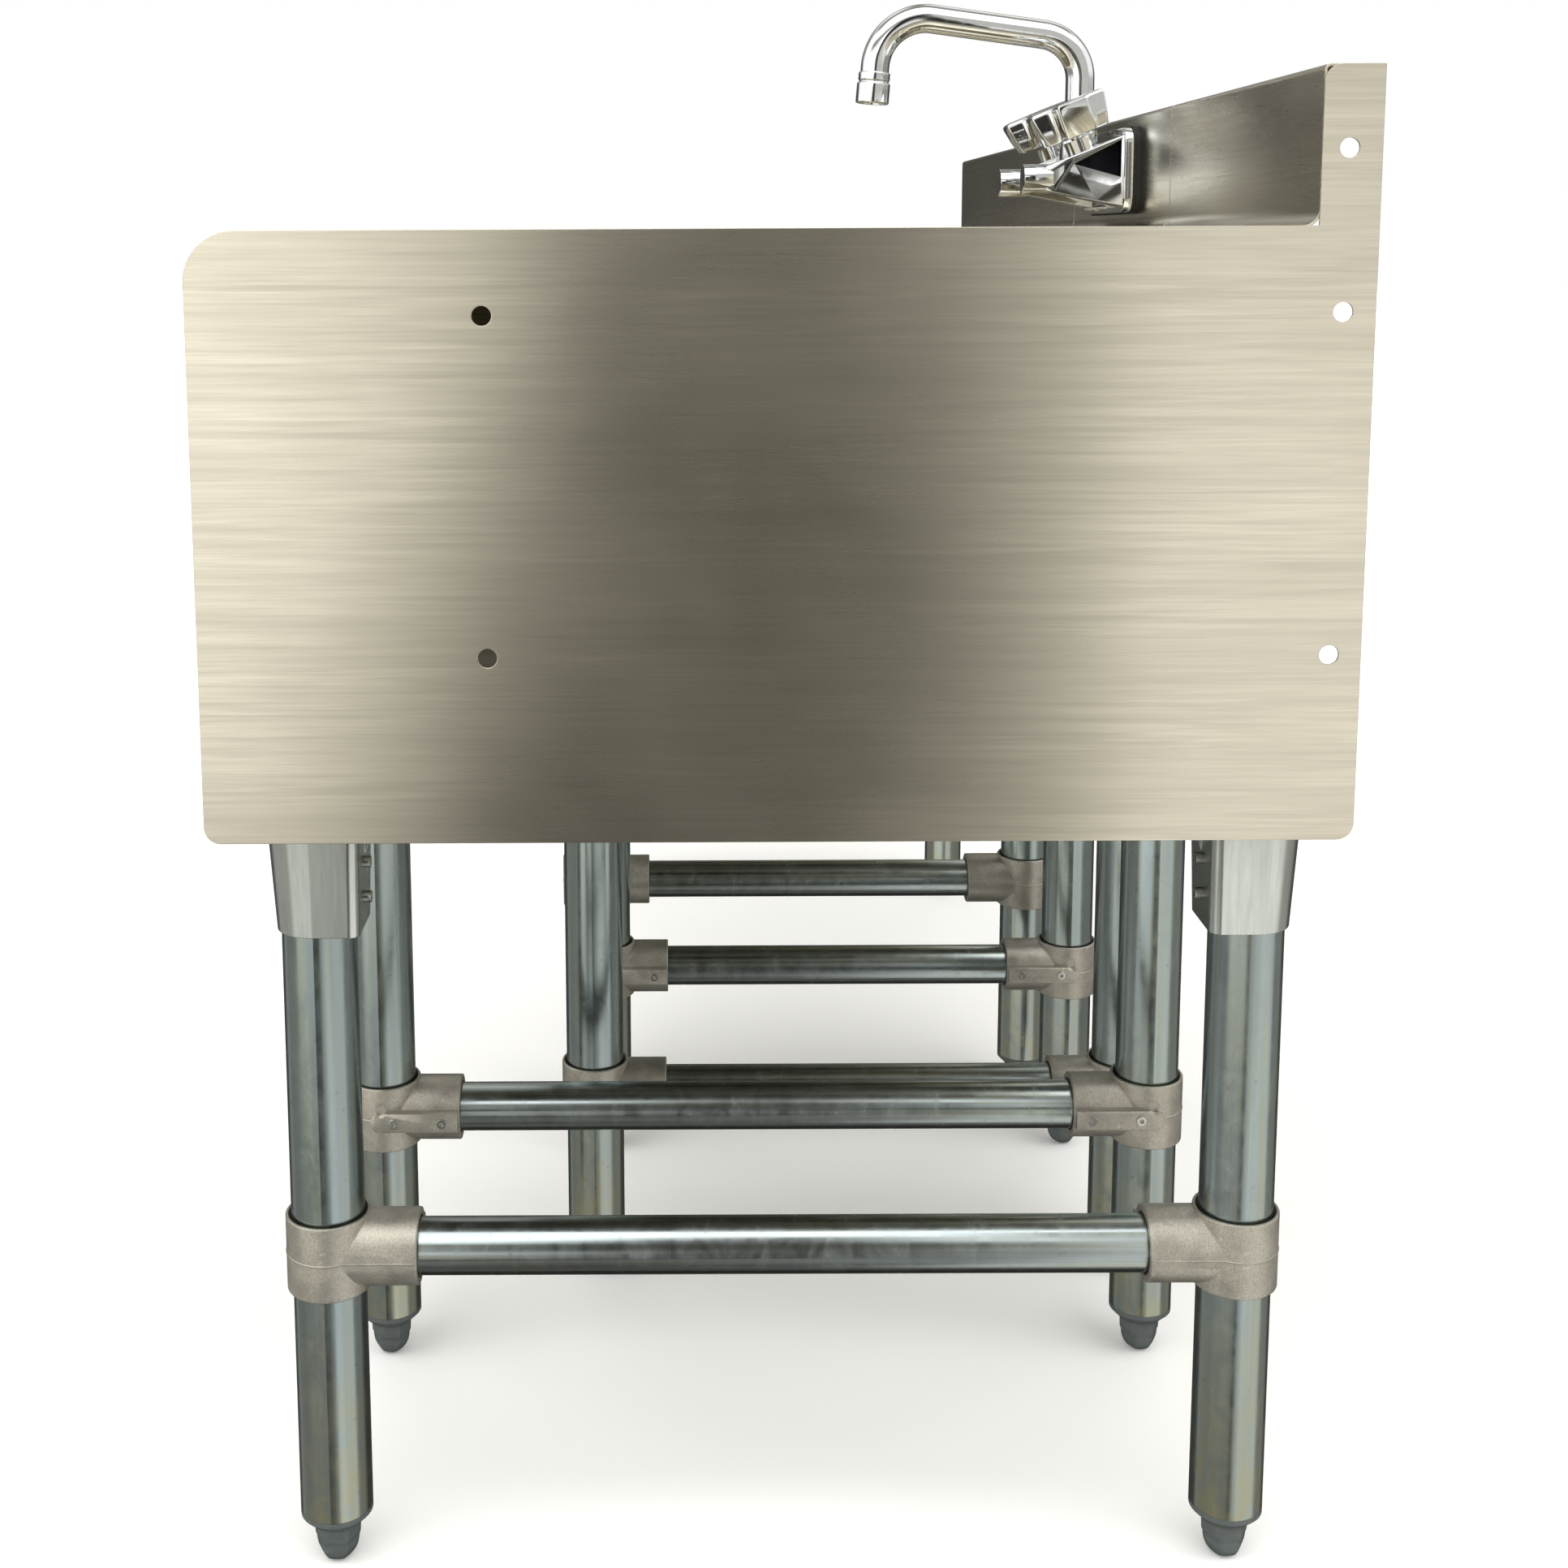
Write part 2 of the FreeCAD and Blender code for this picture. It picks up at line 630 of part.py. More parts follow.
SIDE_R = "(brace_od / 2 + socket_side_wall)"
PLATE_FACE = "(leg_od / 2 + socket_wall + plate_proud)"
gussets = {"deep": [], "basin": [], "board": []}
screws = []
plugs = []


def rear_y(depth, shift):
    return "%s - leg_rear_inset - %s" % (REAR, shift)


def front_y(depth, shift):
    return "%s - %s + leg_front_inset - %s" % (REAR, depth, shift)


def socket(x, y, z, way, face):
    """A cast tee: ring round the leg, side tube for the brace, raised bar with two set screws."""
    ring_body = cylinder(RING_R, "socket_tall", (x, y, "%s - socket_tall / 2" % z))
    turn = ALONG_Y if way > 0 else ALONG_MINUS_Y
    side = cylinder(SIDE_R, "socket_reach", (x, y, z), turn)
    low_x = x if face > 0 else "%s - %s" % (x, PLATE_FACE)
    low_y = y if way > 0 else "%s - socket_reach" % y
    low_z = "%s - plate_tall / 2" % z
    bar = block(PLATE_FACE, "socket_reach", "plate_tall", (low_x, low_y, low_z))
    across = ALONG_X if face > 0 else ALONG_X.multiply(FreeCAD.Rotation(0, 180, 0))
    bar_end = cylinder("plate_tall / 2", PLATE_FACE, (x, y, z), across)
    casting = fused([ring_body, side, bar, bar_end])
    leg_hole = cylinder(
        "%s + socket_fit" % LEG_R, "2 * socket_tall", (x, y, "%s - socket_tall" % z)
    )
    brace_hole = cylinder("%s + socket_fit" % BRACE_R, "2 * socket_reach", (x, y, z), turn)
    sign = "+" if face > 0 else "-"
    seat_x = "%s %s (%s - screw_sink)" % (x, sign, PLATE_FACE)
    seats = []
    for reach in ("screw_near", "screw_near + screw_pitch"):
        screw_y = "%s %s (%s)" % (y, "+" if way > 0 else "-", reach)
        seat = (seat_x, screw_y, z)
        seats.append(cylinder("screw_dia / 2 + 0.4 * socket_fit", "2 * screw_sink", seat, across))
        head = cylinder("screw_dia / 2", "screw_long", seat, across)
        key_x = "%s %s screw_long / 2" % (seat_x, sign)
        key = hexagon("screw_key / 2", "screw_long", (key_x, screw_y, z), across)
        screws.append(cut(head, [key]))
    return cut(casting, [leg_hole, brace_hole] + seats)


def gusset_wire(radius, flat, corner, up):
    """A U: half round on the outer side, straight sides, flat inner side. +Y is inward."""
    v = FreeCAD.Vector
    edges = [
        Part.Arc(v(radius, 0, up), v(0, -radius, up), v(-radius, 0, up)).toShape(),
        Part.LineSegment(v(-radius, 0, up), v(-radius, flat - corner, up)).toShape(),
    ]
    lean = corner * (1 - math.sqrt(0.5))
    edges.append(
        Part.Arc(
            v(-radius, flat - corner, up), v(-radius + lean, flat - lean, up),
            v(-radius + corner, flat, up),
        ).toShape()
    )
    edges.append(Part.LineSegment(v(-radius + corner, flat, up), v(radius - corner, flat, up)).toShape())
    edges.append(
        Part.Arc(
            v(radius - corner, flat, up), v(radius - lean, flat - lean, up),
            v(radius, flat - corner, up),
        ).toShape()
    )
    edges.append(Part.LineSegment(v(radius, flat - corner, up), v(radius, 0, up)).toShape())
    return Part.Wire(edges)


def gusset_shape():
    """A tapered sleeve that hangs from the foot flange, round outside and flat inside."""
    tall = size("gusset_tall")
    metal = size("gusset_gauge")
    top_flat = size("leg_od") / 2 + size("gusset_top_gap")
    low_flat = size("leg_od") / 2 + size("gusset_low_gap")
    low_radius = size("leg_od") / 2 + size("gusset_fit") + metal
    corner = 6.0
    outer = [
        gusset_wire(low_radius, low_flat, corner, -tall),
        gusset_wire(top_flat, top_flat, corner, 0),
    ]
    inner = [
        gusset_wire(low_radius - metal, low_flat - metal, corner - metal, -tall),
        gusset_wire(
            top_flat - metal, top_flat - metal, corner - metal, 0
        ),
    ]
    sleeve = Part.makeLoft(outer, True, True).cut(Part.makeLoft(inner, True, True))
    flat = top_flat - metal / 2
    v = FreeCAD.Vector
    lean = (top_flat - low_flat) * size("gusset_wing_tall") / tall
    corners = (
        v(-metal / 2, flat, 0),
        v(-metal / 2, flat + size("gusset_wing") + metal / 2, 0),
        v(-metal / 2, flat - lean, -size("gusset_wing_tall")),
        v(-metal / 2, flat, 0),
    )
    wing = Part.Face(Part.makePolygon(corners)).extrude(v(metal, 0, 0))
    half = size("screw_dia") / 2 + 0.1
    drills = []
    for drop in (0, size("gusset_screw_pitch")):
        foot = v(0, size("leg_od") / 2, -size("gusset_screw_drop") - drop)
        drills.append(Part.makeCylinder(half, 20, foot, v(0, 1, 0)))
    return sleeve.fuse(wing).cut(drills[0]).cut(drills[1]).removeSplitter()


gusset_form = gusset_shape()


def gusset(x, y, way):
    made = doc.addObject("Part::Feature", "Gusset")
    made.Shape = gusset_form
    turn = UPRIGHT if way > 0 else FreeCAD.Rotation(FreeCAD.Vector(0, 0, 1), 180)
    return put(made, (x, y, PANEL_FOOT), turn)


def gusset_screw(x, y, way, drop):
    """Bears on the leg and stands proud of the gusset's flat side."""
    turn = ALONG_Y if way > 0 else ALONG_MINUS_Y
    sign = "+" if way > 0 else "-"
    z = "%s - gusset_screw_drop - %s" % (PANEL_FOOT, drop)
    long = "gusset_top_gap + gusset_screw_proud"
    shank = cylinder("screw_dia / 2", long, (x, "%s %s %s" % (y, sign, LEG_R), z), turn)
    tip = "%s %s (%s + gusset_top_gap + gusset_screw_proud - screw_long / 2)" % (y, sign, LEG_R)
    key = hexagon("screw_key / 2", "screw_long", (x, tip, z), turn)
    return cut(shank, [key])


def leg_plug(x, y):
    """The plastic plug in the leg's lower end, with the collar that shows below it."""
    bore = "foot_stud_dia / 2 + stud_fit"
    wide = "leg_od / 2 - leg_wall - plug_fit"
    return turned(
        None,
        (
            (bore, "leg_lift - plug_collar_tall"),
            ("plug_collar_low_dia / 2", "leg_lift - plug_collar_tall"),
            (LEG_R, "leg_lift - plug_collar_tall / 3"),
            (LEG_R, "leg_lift"),
            (wide, "leg_lift"),
            (wide, "leg_lift + plug_deep"),
            (bore, "leg_lift + plug_deep"),
        ),
        (x, y, "0"),
    )


def bullet_foot(label, x, y):
    """A hexagonal bullet foot on a stud that screws up into the plug."""
    top = "leg_lift - plug_collar_tall - foot_stop_gap"
    prism = hexagon("foot_flats / sqrt(3)", top, (x, y, "0"), SIXTH)
    dome = doc.addObject("Part::Sphere", "Dome")
    bind(dome, "Radius", "foot_flats * 0.78")
    put(dome, (x, y, "foot_flats * 0.78 - 1"))
    shaped = doc.addObject("Part::Common", "Bullet")
    flare = cone("foot_flats * 0.36", "foot_flats * 0.72", top, (x, y, "0"))
    shaped.Base = prism
    shaped.Tool = fused([dome, flare])
    stud = cylinder("foot_stud_dia / 2", "foot_stud_long", (x, y, top))
    node(label, fused([shaped, stud]))


for name, x, depth, shift, face in PAIRS:
    z = "brace_z_%s" % name
    ys = (front_y(depth, shift), rear_y(depth, shift))
    tall = "%s - leg_lift" % PANEL_FOOT
    group("legs_%s" % name, [tube(LEG_R, "leg_wall", tall, (x, y, "leg_lift")) for y in ys])
    start = "%s + %s + 1" % (ys[0], LEG_R)
    span = "%s - leg_front_inset - leg_rear_inset - leg_od - 2" % depth
    node("brace_%s" % name, tube(BRACE_R, "brace_wall", span, (x, start, z), ALONG_Y))
    group("sockets_%s" % name, [socket(x, y, z, way, face) for y, way in zip(ys, (1, -1))])
    for y, way in zip(ys, (1, -1)):
        gussets[name.split("_")[0]].append(gusset(x, y, way))
        screws.extend(gusset_screw(x, y, way, drop) for drop in ("0", "gusset_screw_pitch"))
        plugs.append(leg_plug(x, y))
        end = "front" if way > 0 else "rear"
        bullet_foot("foot_%s_%s" % (name, end), x, y)

for section, pieces in gussets.items():
    group("gussets_%s" % section, pieces)
group("set_screws", screws)
group("leg_plugs", plugs)

# ---------------------------------------------------------------- bolts between the sections

bolts = []
for seam in ("%s - deep_width" % HALF_RUN, "%s - deep_width - basin_width" % HALF_RUN):
    for inset in ("bolt_rear_inset", "bolt_front_inset"):
        for drop in ("bolt_row_high", "bolt_row_low"):
            y = "%s - %s" % (REAR, inset)
            z = "deck_height - %s" % drop
            right = "%s + sheet_gauge" % seam
            left = "%s - sheet_gauge" % seam
            shank = cylinder(
                "bolt_dia / 2", "2 * sheet_gauge + 1.6 * nut_tall",
                ("%s - 1.6 * nut_tall" % left, y, z), ALONG_X,
            )
            head = hexagon("bolt_head_dia / 2", "bolt_head_tall", (right, y, z), ALONG_X)
            bolts.append(fused([shank, head]))
            nut = hexagon("bolt_head_dia / 2", "nut_tall", ("%s - nut_tall" % left, y, z), ALONG_X)
            bore = cylinder("bolt_dia / 2 + 0.1", "nut_tall", ("%s - nut_tall" % left, y, z), ALONG_X)
            bolts.append(cut(nut, [bore]))
group("section_bolts", bolts)

# ---------------------------------------------------------------- drain

DRAIN = (BASIN_MID, BOWL_MID_Y, BOWL_FLOOR)
PIPE_R = "drain_pipe_dia / 2"
turned(
    "drain_flange",
    (
        ("%s - drain_pipe_wall" % PIPE_R, "-drain_body_long"),
        (PIPE_R, "-drain_body_long"),
        (PIPE_R, "0"),
        ("drain_flange_dia / 2", "0"),
        ("drain_flange_dia / 2 - 2", "drain_flange_tall"),
        ("basket_rim_dia / 2 + 3", "drain_flange_tall"),
        ("%s - drain_pipe_wall" % PIPE_R, "drain_flange_tall / 3"),
    ),
    DRAIN,
)
nut_low = "-sheet_gauge - drain_nut_tall"
nut_z = "%s %s" % (BOWL_FLOOR, nut_low)
nut_body = hexagon("drain_nut_dia / 2", "drain_nut_tall", (BASIN_MID, BOWL_MID_Y, nut_z))
nut_bore = cylinder("%s + 0.2" % PIPE_R, "drain_nut_tall", (BASIN_MID, BOWL_MID_Y, nut_z))
node("drain_nut", cut(nut_body, [nut_bore]))
turned(
    "drain_tailpiece",
    (
        ("tail_dia / 2 - tail_wall", "-tail_long"),
        ("tail_dia / 2", "-tail_long"),
        ("tail_dia / 2", "-8"),
        ("%s + 6" % PIPE_R, "-8"),
        ("%s + 6" % PIPE_R, "16"),
        ("%s + 0.2" % PIPE_R, "16"),
        ("%s + 0.2" % PIPE_R, "0"),
        ("tail_dia / 2 - tail_wall", "0"),
    ),
    (BASIN_MID, BOWL_MID_Y, "%s - drain_body_long" % BOWL_FLOOR),
)


def basket_shape():
    """A pressed strainer cup with a ring of drain holes and a lift-out knob."""
    v = FreeCAD.Vector
    rim = size("basket_rim_dia") / 2
    cup = size("basket_dia") / 2
    deep = size("basket_deep")
    section = [
        v(0, 0, -deep), v(cup - 4, 0, -deep), v(cup, 0, -deep + 5), v(cup, 0, 0),
        v(rim, 0, 1.4), v(rim, 0, 2.4), v(cup - 1.2, 0, 1.2), v(cup - 1.2, 0, -deep + 5.4),
        v(cup - 4.5, 0, -deep + 1.2), v(3, 0, -deep + 1.2), v(3, 0, 4), v(6, 0, 6), v(6, 0, 9),
        v(4, 0, 11), v(0, 0, 11), v(0, 0, -deep),
    ]
    cup_body = Part.Face(Part.makePolygon(section)).revolve(v(), v(0, 0, 1), 360)
    holes = []
    for radius, count in ((7.5, 6), (12, 10)):
        for step in range(count):
            turn = 2 * math.pi * step / count
            foot = v(radius * math.cos(turn), radius * math.sin(turn), -deep - 1)
            holes.append(Part.makeCylinder(1.6, 4, foot))
    return cup_body.cut(Part.makeCompound(holes))


seat_lift = size("drain_flange_tall") + size("basket_gap") - 1.4
basket = feature("drain_basket", basket_shape())
basket.Placement = FreeCAD.Placement(
    FreeCAD.Vector(bowl_centre.x, bowl_centre.y, deck - size("bowl_deep") + seat_lift), UPRIGHT
)

# ---------------------------------------------------------------- faucet

face_y = size("deep_depth") / 2 - size("splash_thick")
axis_z = deck + size("faucet_height")
mid_x = bowl_centre.x


def wedge_wire(out, low, high, half_wide, corner):
    """A rounded upright rectangle parallel to the wall, that far in front of the backsplash."""
    centre_z = (low + high) / 2
    tall = high - low
    v = FreeCAD.Vector
    points = []
    for side_x, side_z in ((1, 1), (-1, 1), (-1, -1), (1, -1)):
        points.append((side_x * (half_wide - corner), side_z * (tall / 2 - corner), side_x, side_z))
    edges = []
    lean = corner * math.sqrt(0.5)
    ends = []
    for px, pz, sx, sz in points:
        in_x = v(mid_x + px + sx * corner, face_y - out, centre_z + pz)
        in_z = v(mid_x + px, face_y - out, centre_z + pz + sz * corner)
        mid = v(mid_x + px + sx * lean, face_y - out, centre_z + pz + sz * lean)
        pair = (in_x, in_z) if sx * sz > 0 else (in_z, in_x)
        ends.append(pair)
        edges.append(Part.Arc(pair[0], mid, pair[1]).toShape())
    for step in range(4):
        edges.append(Part.LineSegment(ends[step][1], ends[(step + 1) % 4][0]).toShape())
    return Part.Wire(Part.__sortEdges__(edges))


def valve_frame(side):
    """Where a valve stands: its seat on the body, leaning forward."""
    turn = FreeCAD.Rotation(FreeCAD.Vector(1, 0, 0), size("valve_lean"))
    seat = FreeCAD.Vector(
        mid_x + side * size("faucet_centres") / 2,
        face_y - size("valve_out"),
        axis_z + size("valve_rise"),
    )
    return FreeCAD.Placement(seat, turn)


def upright_rectangle(x, half, y, low, high):
    v = FreeCAD.Vector
    corners = [v(x - half, y, low), v(x + half, y, low), v(x + half, y, high), v(x - half, y, high)]
    return Part.makePolygon(corners + corners[:1])


def faucet_body():
    """A cast body that flares back from two round hubs to a tall wall flange."""
    v = FreeCAD.Vector
    plate = size("gasket_thick")
    lip = size("flange_lip")
    half = size("faucet_centres") / 2 + size("body_end")
    tall = size("flange_tall")
    low = axis_z - tall / 2
    corner = size("flange_corner")
    body = Part.makeLoft(
        [
            wedge_wire(plate, low, low + tall, half, corner),
            wedge_wire(plate + lip, low, low + tall, half, corner),
        ],
        True, True,
    )
    hub = size("hub_dia") / 2
    hub_z = axis_z - size("hub_drop")
    inset = size("horn_inset")
    tip = face_y - size("body_reach") + size("hub_long")
    for side in (-1, 1):
        x = mid_x + side * size("faucet_centres") / 2
        nose = Part.makeCylinder(hub, size("hub_long"), v(x, tip, hub_z), v(0, -1, 0))
        rear = upright_rectangle(
            x, size("body_end") - inset, face_y - plate - lip / 2, low + inset, low + tall - inset
        )
        square = hub * 0.8
        front = upright_rectangle(x, square, tip - hub / 2, hub_z - square, hub_z + square)
        horn = Part.makeLoft([rear, front], True, True)
        pocket_x = x + side * size("pocket_floor")
        pocket_corners = [
            v(pocket_x, face_y - size("pocket_" + out), deck + size("pocket_" + rise))
            for out, rise in (
                ("tip_out", "tip_rise"), ("rear_out", "low_rise"), ("rear_out", "high_rise"),
                ("tip_out", "tip_rise"),
            )
        ]
        pocket = Part.Face(Part.makePolygon(pocket_corners))
        horn = horn.cut(pocket.extrude(v(side * size("body_end"), 0, 0)))
        tower = Part.makeCylinder(
            size("bonnet_dia") / 2 + 1, size("tower_sink"), v(0, 0, -size("tower_sink"))
        )
        tower.Placement = valve_frame(side)
        body = body.fuse([nose, horn, tower])
    bridge = Part.makeBox(
        size("faucet_centres"), size("bridge_deep"), size("bridge_tall"),
        v(
            mid_x - size("faucet_centres") / 2,
            face_y - plate - lip / 2 - size("bridge_deep"),
            axis_z - size("bridge_tall") / 2,
        ),
    )
    riser_y = face_y - size("spout_out")
    boss_tall = deck + size("boss_rise") - axis_z
    boss = Part.makeCylinder(size("collar_dia") / 2 - 1, boss_tall, v(mid_x, riser_y, axis_z))
    bore_foot = deck + size("spout_foot_rise") - size("spout_seat_gap")
    bore = Part.makeCylinder(
        size("spout_dia") / 2 + size("spout_fit"), boss_tall, v(mid_x, riser_y, bore_foot)
    )
    body = body.fuse([bridge, boss]).cut(bore)
    for side in (-1, 1):
        seat = Part.makeCylinder(size("bonnet_dia") / 2 + size("spout_fit"), size("knob_span"))
        seat.Placement = valve_frame(side)
        body = body.cut(seat)
    return body.removeSplitter()


def gasket_shape():
    half = size("faucet_centres") / 2 + size("body_end") + 1
    tall = size("flange_tall") + 2
    low = axis_z - tall / 2
    thick = size("gasket_thick")
    corner = size("flange_corner") + 1
    pad_shape = Part.makeLoft(
        [
            wedge_wire(0, low, low + tall, half, corner),
            wedge_wire(thick, low, low + tall, half, corner),
        ],
        True, True,
    )
    for side in (-1, 1):
        x = mid_x + side * size("faucet_centres") / 2
        foot = FreeCAD.Vector(x, face_y + 1, axis_z)
        pad_shape = pad_shape.cut(
            Part.makeCylinder(size("shank_dia") / 2 + 0.5, 20, foot, FreeCAD.Vector(0, -1, 0))
        )
    return pad_shape


feature("faucet_body", faucet_body())
feature("faucet_gasket", gasket_shape())

shank_start = "%s - gasket_thick" % SPLASH_FACE
nut_start = "%s + sheet_gauge" % SPLASH_FACE
shanks, shank_nuts = [], []
for sign in ("-", "+"):
    x = "%s %s faucet_centres / 2" % (BASIN_MID, sign)
    root_long = "gasket_thick + sheet_gauge + shank_nut_tall + shank_shoulder"
    full_long = "gasket_thick + sheet_gauge + shank_long"
    root = cylinder("shank_dia / 2", root_long, (x, shank_start, FAUCET_Z), ALONG_Y)
    tail = cylinder("shank_tail_dia / 2", full_long, (x, shank_start, FAUCET_Z), ALONG_Y)
    way = cylinder("shank_dia / 2 - shank_wall", full_long, (x, shank_start, FAUCET_Z), ALONG_Y)
    shanks.append(cut(fused([root, tail]), [way]))
    nut = hexagon("shank_nut_dia / 2", "shank_nut_tall", (x, nut_start, FAUCET_Z), ALONG_Y)
    bore = cylinder("shank_dia / 2 + 0.1", "shank_nut_tall", (x, nut_start, FAUCET_Z), ALONG_Y)
    shank_nuts.append(cut(nut, [bore]))
group("faucet_shanks", shanks)
group("shank_nuts", shank_nuts)


def bonnet_shape():
    lower = Part.makeCylinder(size("bonnet_dia") / 2, size("bonnet_tall"))
    stem = Part.makeCylinder(size("stem_dia") / 2, size("bonnet_tall") + size("stem_tall"))
    return lower.fuse(stem).removeSplitter()


def knob_shape():
    """A four-lobe handle with flat lobe ends, hollow over its stem."""
    v = FreeCAD.Vector
    span, lobe, tall = size("knob_span"), size("knob_lobe"), size("knob_tall")
    low = size("bonnet_tall") + size("knob_gap")
    arms = []
    for turn in (0, 90):
        arm = Part.makeBox(span, lobe, tall, v(-span / 2, -lobe / 2, low))
        arm.rotate(v(), v(0, 0, 1), turn)
        arms.append(arm)
    body = arms[0].fuse(arms[1]).removeSplitter()
    core = Part.makeCone(span / 2 - 4, span / 2 + 3, tall, v(0, 0, low))
    body = body.common(core)
    crown = Part.makeSphere(span * 1.1, v(0, 0, low + tall - span * 1.1))
    body = body.common(crown)
    hole = Part.makeCylinder(
        size("stem_dia") / 2 + size("stem_fit"), size("stem_tall") + 0.3, v(0, 0, size("bonnet_tall"))
    )
    return body.cut(hole).removeSplitter()


bonnets = []
for side in (-1, 1):
    made = doc.addObject("Part::Feature", "Bonnet")
    made.Shape = bonnet_shape()
    made.Placement = valve_frame(side)
    bonnets.append(made)
group("valve_bonnets", bonnets)
for label, side in (("handle_cold", 1), ("handle_hot", -1)):
    form = knob_shape()
    form.rotate(FreeCAD.Vector(), FreeCAD.Vector(0, 0, 1), side * size("knob_turn"))
    knob = feature(label, form)
    knob.Placement = valve_frame(side)


def spout_path():
    """Riser, rear bend, gently rising run, front bend and outlet, along the tube's axis."""
    v = FreeCAD.Vector
    y0 = face_y - size("spout_out")
    corners = [
        v(mid_x, y0, deck + size("spout_foot_rise")),
        v(mid_x, y0, deck + size("spout_crown")),
        v(mid_x, face_y - size("spout_front_out"), deck + size("spout_front")),
        v(mid_x, face_y - size("spout_reach"), deck + size("spout_end_rise")),
    ]
    radii = (size("spout_rear_bend"), size("spout_front_bend"))
    edges = []
    start = corners[0]
    for corner, following, radius in zip(corners[1:-1], corners[2:], radii):
        before = (corner - start).normalize()
        after = (following - corner).normalize()
        half = before.getAngle(after) / 2
        trim = radius * math.tan(half)
        first, last = corner - before * trim, corner + after * trim
        toward = (after - before).normalize()
        centre = corner + toward * (radius / math.cos(half))
        edges.append(Part.LineSegment(start, first).toShape())
        edges.append(Part.Arc(first, centre - toward * radius, last).toShape())
        start = last
    edges.append(Part.LineSegment(start, corners[-1]).toShape())
    return Part.Wire(edges), corners


path, spout_corners = spout_path()


def spout_shape():
    v = FreeCAD.Vector
    made = []
    for radius in (size("spout_dia") / 2, size("spout_dia") / 2 - size("spout_wall")):
        circle = Part.Wire([Part.makeCircle(radius, spout_corners[0], v(0, 0, 1))])
        made.append(path.makePipeShell([circle], True, True))
    return made[0].cut(made[1])


feature("spout", spout_shape())
collar_foot = "deck_height + boss_rise"
collar = tube(
    "collar_dia / 2", "((collar_dia - spout_dia) / 2 - 3 * spout_fit)", "collar_tall",
    (BASIN_MID, "%s - spout_out" % SPLASH_FACE, collar_foot),
)
node("spout_nut", collar)


def aerator_shape():
    """A turned shell on the outlet: a collar, a knurled skirt and a screen."""
    v = FreeCAD.Vector
    radius, tall = size("aerator_dia") / 2, size("aerator_tall")
    tube_r = size("spout_dia") / 2
    section = [
        v(0, 0, -3), v(tube_r - 2, 0, -3), v(tube_r - 2, 0, -tall + 1), v(radius - 1.5, 0, -tall + 1),
        v(radius - 1.5, 0, -tall), v(radius - 0.6, 0, -tall), v(radius, 0, -tall + 1),
        v(radius, 0, -4), v(radius - 1, 0, -2), v(radius - 1, 0, 3), v(tube_r + 0.1, 0, 4),
        v(tube_r + 0.1, 0, -0.2), v(0, 0, -0.2), v(0, 0, -3),
    ]
    return Part.Face(Part.makePolygon(section)).revolve(v(), v(0, 0, 1), 360)


run = (spout_corners[-2] - spout_corners[-1]).normalize()
aerator = feature("aerator", aerator_shape())
aerator.Placement = FreeCAD.Placement(
    spout_corners[-1], FreeCAD.Rotation(FreeCAD.Vector(0, 0, 1), run)
)

# ---------------------------------------------------------------- checks and files

doc.recompute()
faults = []
for thing in doc.Objects:
    if "Invalid" in thing.State or "Error" in thing.State:
        faults.append("%s (%s) is %s" % (thing.Name, thing.Label, thing.State))
for thing in nodes:
    if thing.Shape.isNull() or not thing.Shape.isValid():
        faults.append("%s has no valid shape" % thing.Label)
if faults:
    raise RuntimeError("; ".join(faults))

os.makedirs("parts", exist_ok=True)
for thing in nodes:
    thing.Shape.exportStep("parts/%s.step" % thing.Label)
print("%d nodes, %d solids" % (len(nodes), sum(len(n.Shape.Solids) for n in nodes)))
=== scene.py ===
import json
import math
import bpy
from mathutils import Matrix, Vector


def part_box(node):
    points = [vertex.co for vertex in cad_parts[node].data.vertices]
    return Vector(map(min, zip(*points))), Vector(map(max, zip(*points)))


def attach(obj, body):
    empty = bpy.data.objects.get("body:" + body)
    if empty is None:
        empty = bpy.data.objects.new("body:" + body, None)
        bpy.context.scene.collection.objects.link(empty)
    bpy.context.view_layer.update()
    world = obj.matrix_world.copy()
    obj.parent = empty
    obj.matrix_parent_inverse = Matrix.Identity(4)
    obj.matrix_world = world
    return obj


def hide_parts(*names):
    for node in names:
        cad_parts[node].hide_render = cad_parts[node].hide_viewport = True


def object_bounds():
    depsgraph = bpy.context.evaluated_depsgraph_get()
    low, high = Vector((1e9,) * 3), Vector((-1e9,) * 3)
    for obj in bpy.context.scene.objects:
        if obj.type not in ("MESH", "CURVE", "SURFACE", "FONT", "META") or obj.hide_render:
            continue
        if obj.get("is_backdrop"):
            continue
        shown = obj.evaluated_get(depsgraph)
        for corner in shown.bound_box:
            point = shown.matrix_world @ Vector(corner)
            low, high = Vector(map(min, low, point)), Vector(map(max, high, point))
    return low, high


bl_info = {
    "name": "Underbar Handwash Run",
    "version": (1, 0, 0),
    "blender": (4, 5, 0),
    "location": "View3D > Sidebar > Handwash",
    "description": "Finishes and fine pieces for a stainless handwash run on tubular legs",
    "category": "Object",
}

import bmesh
import bpy
from bpy.props import FloatProperty, FloatVectorProperty, IntProperty, PointerProperty, StringProperty
from mathutils import Matrix, Vector

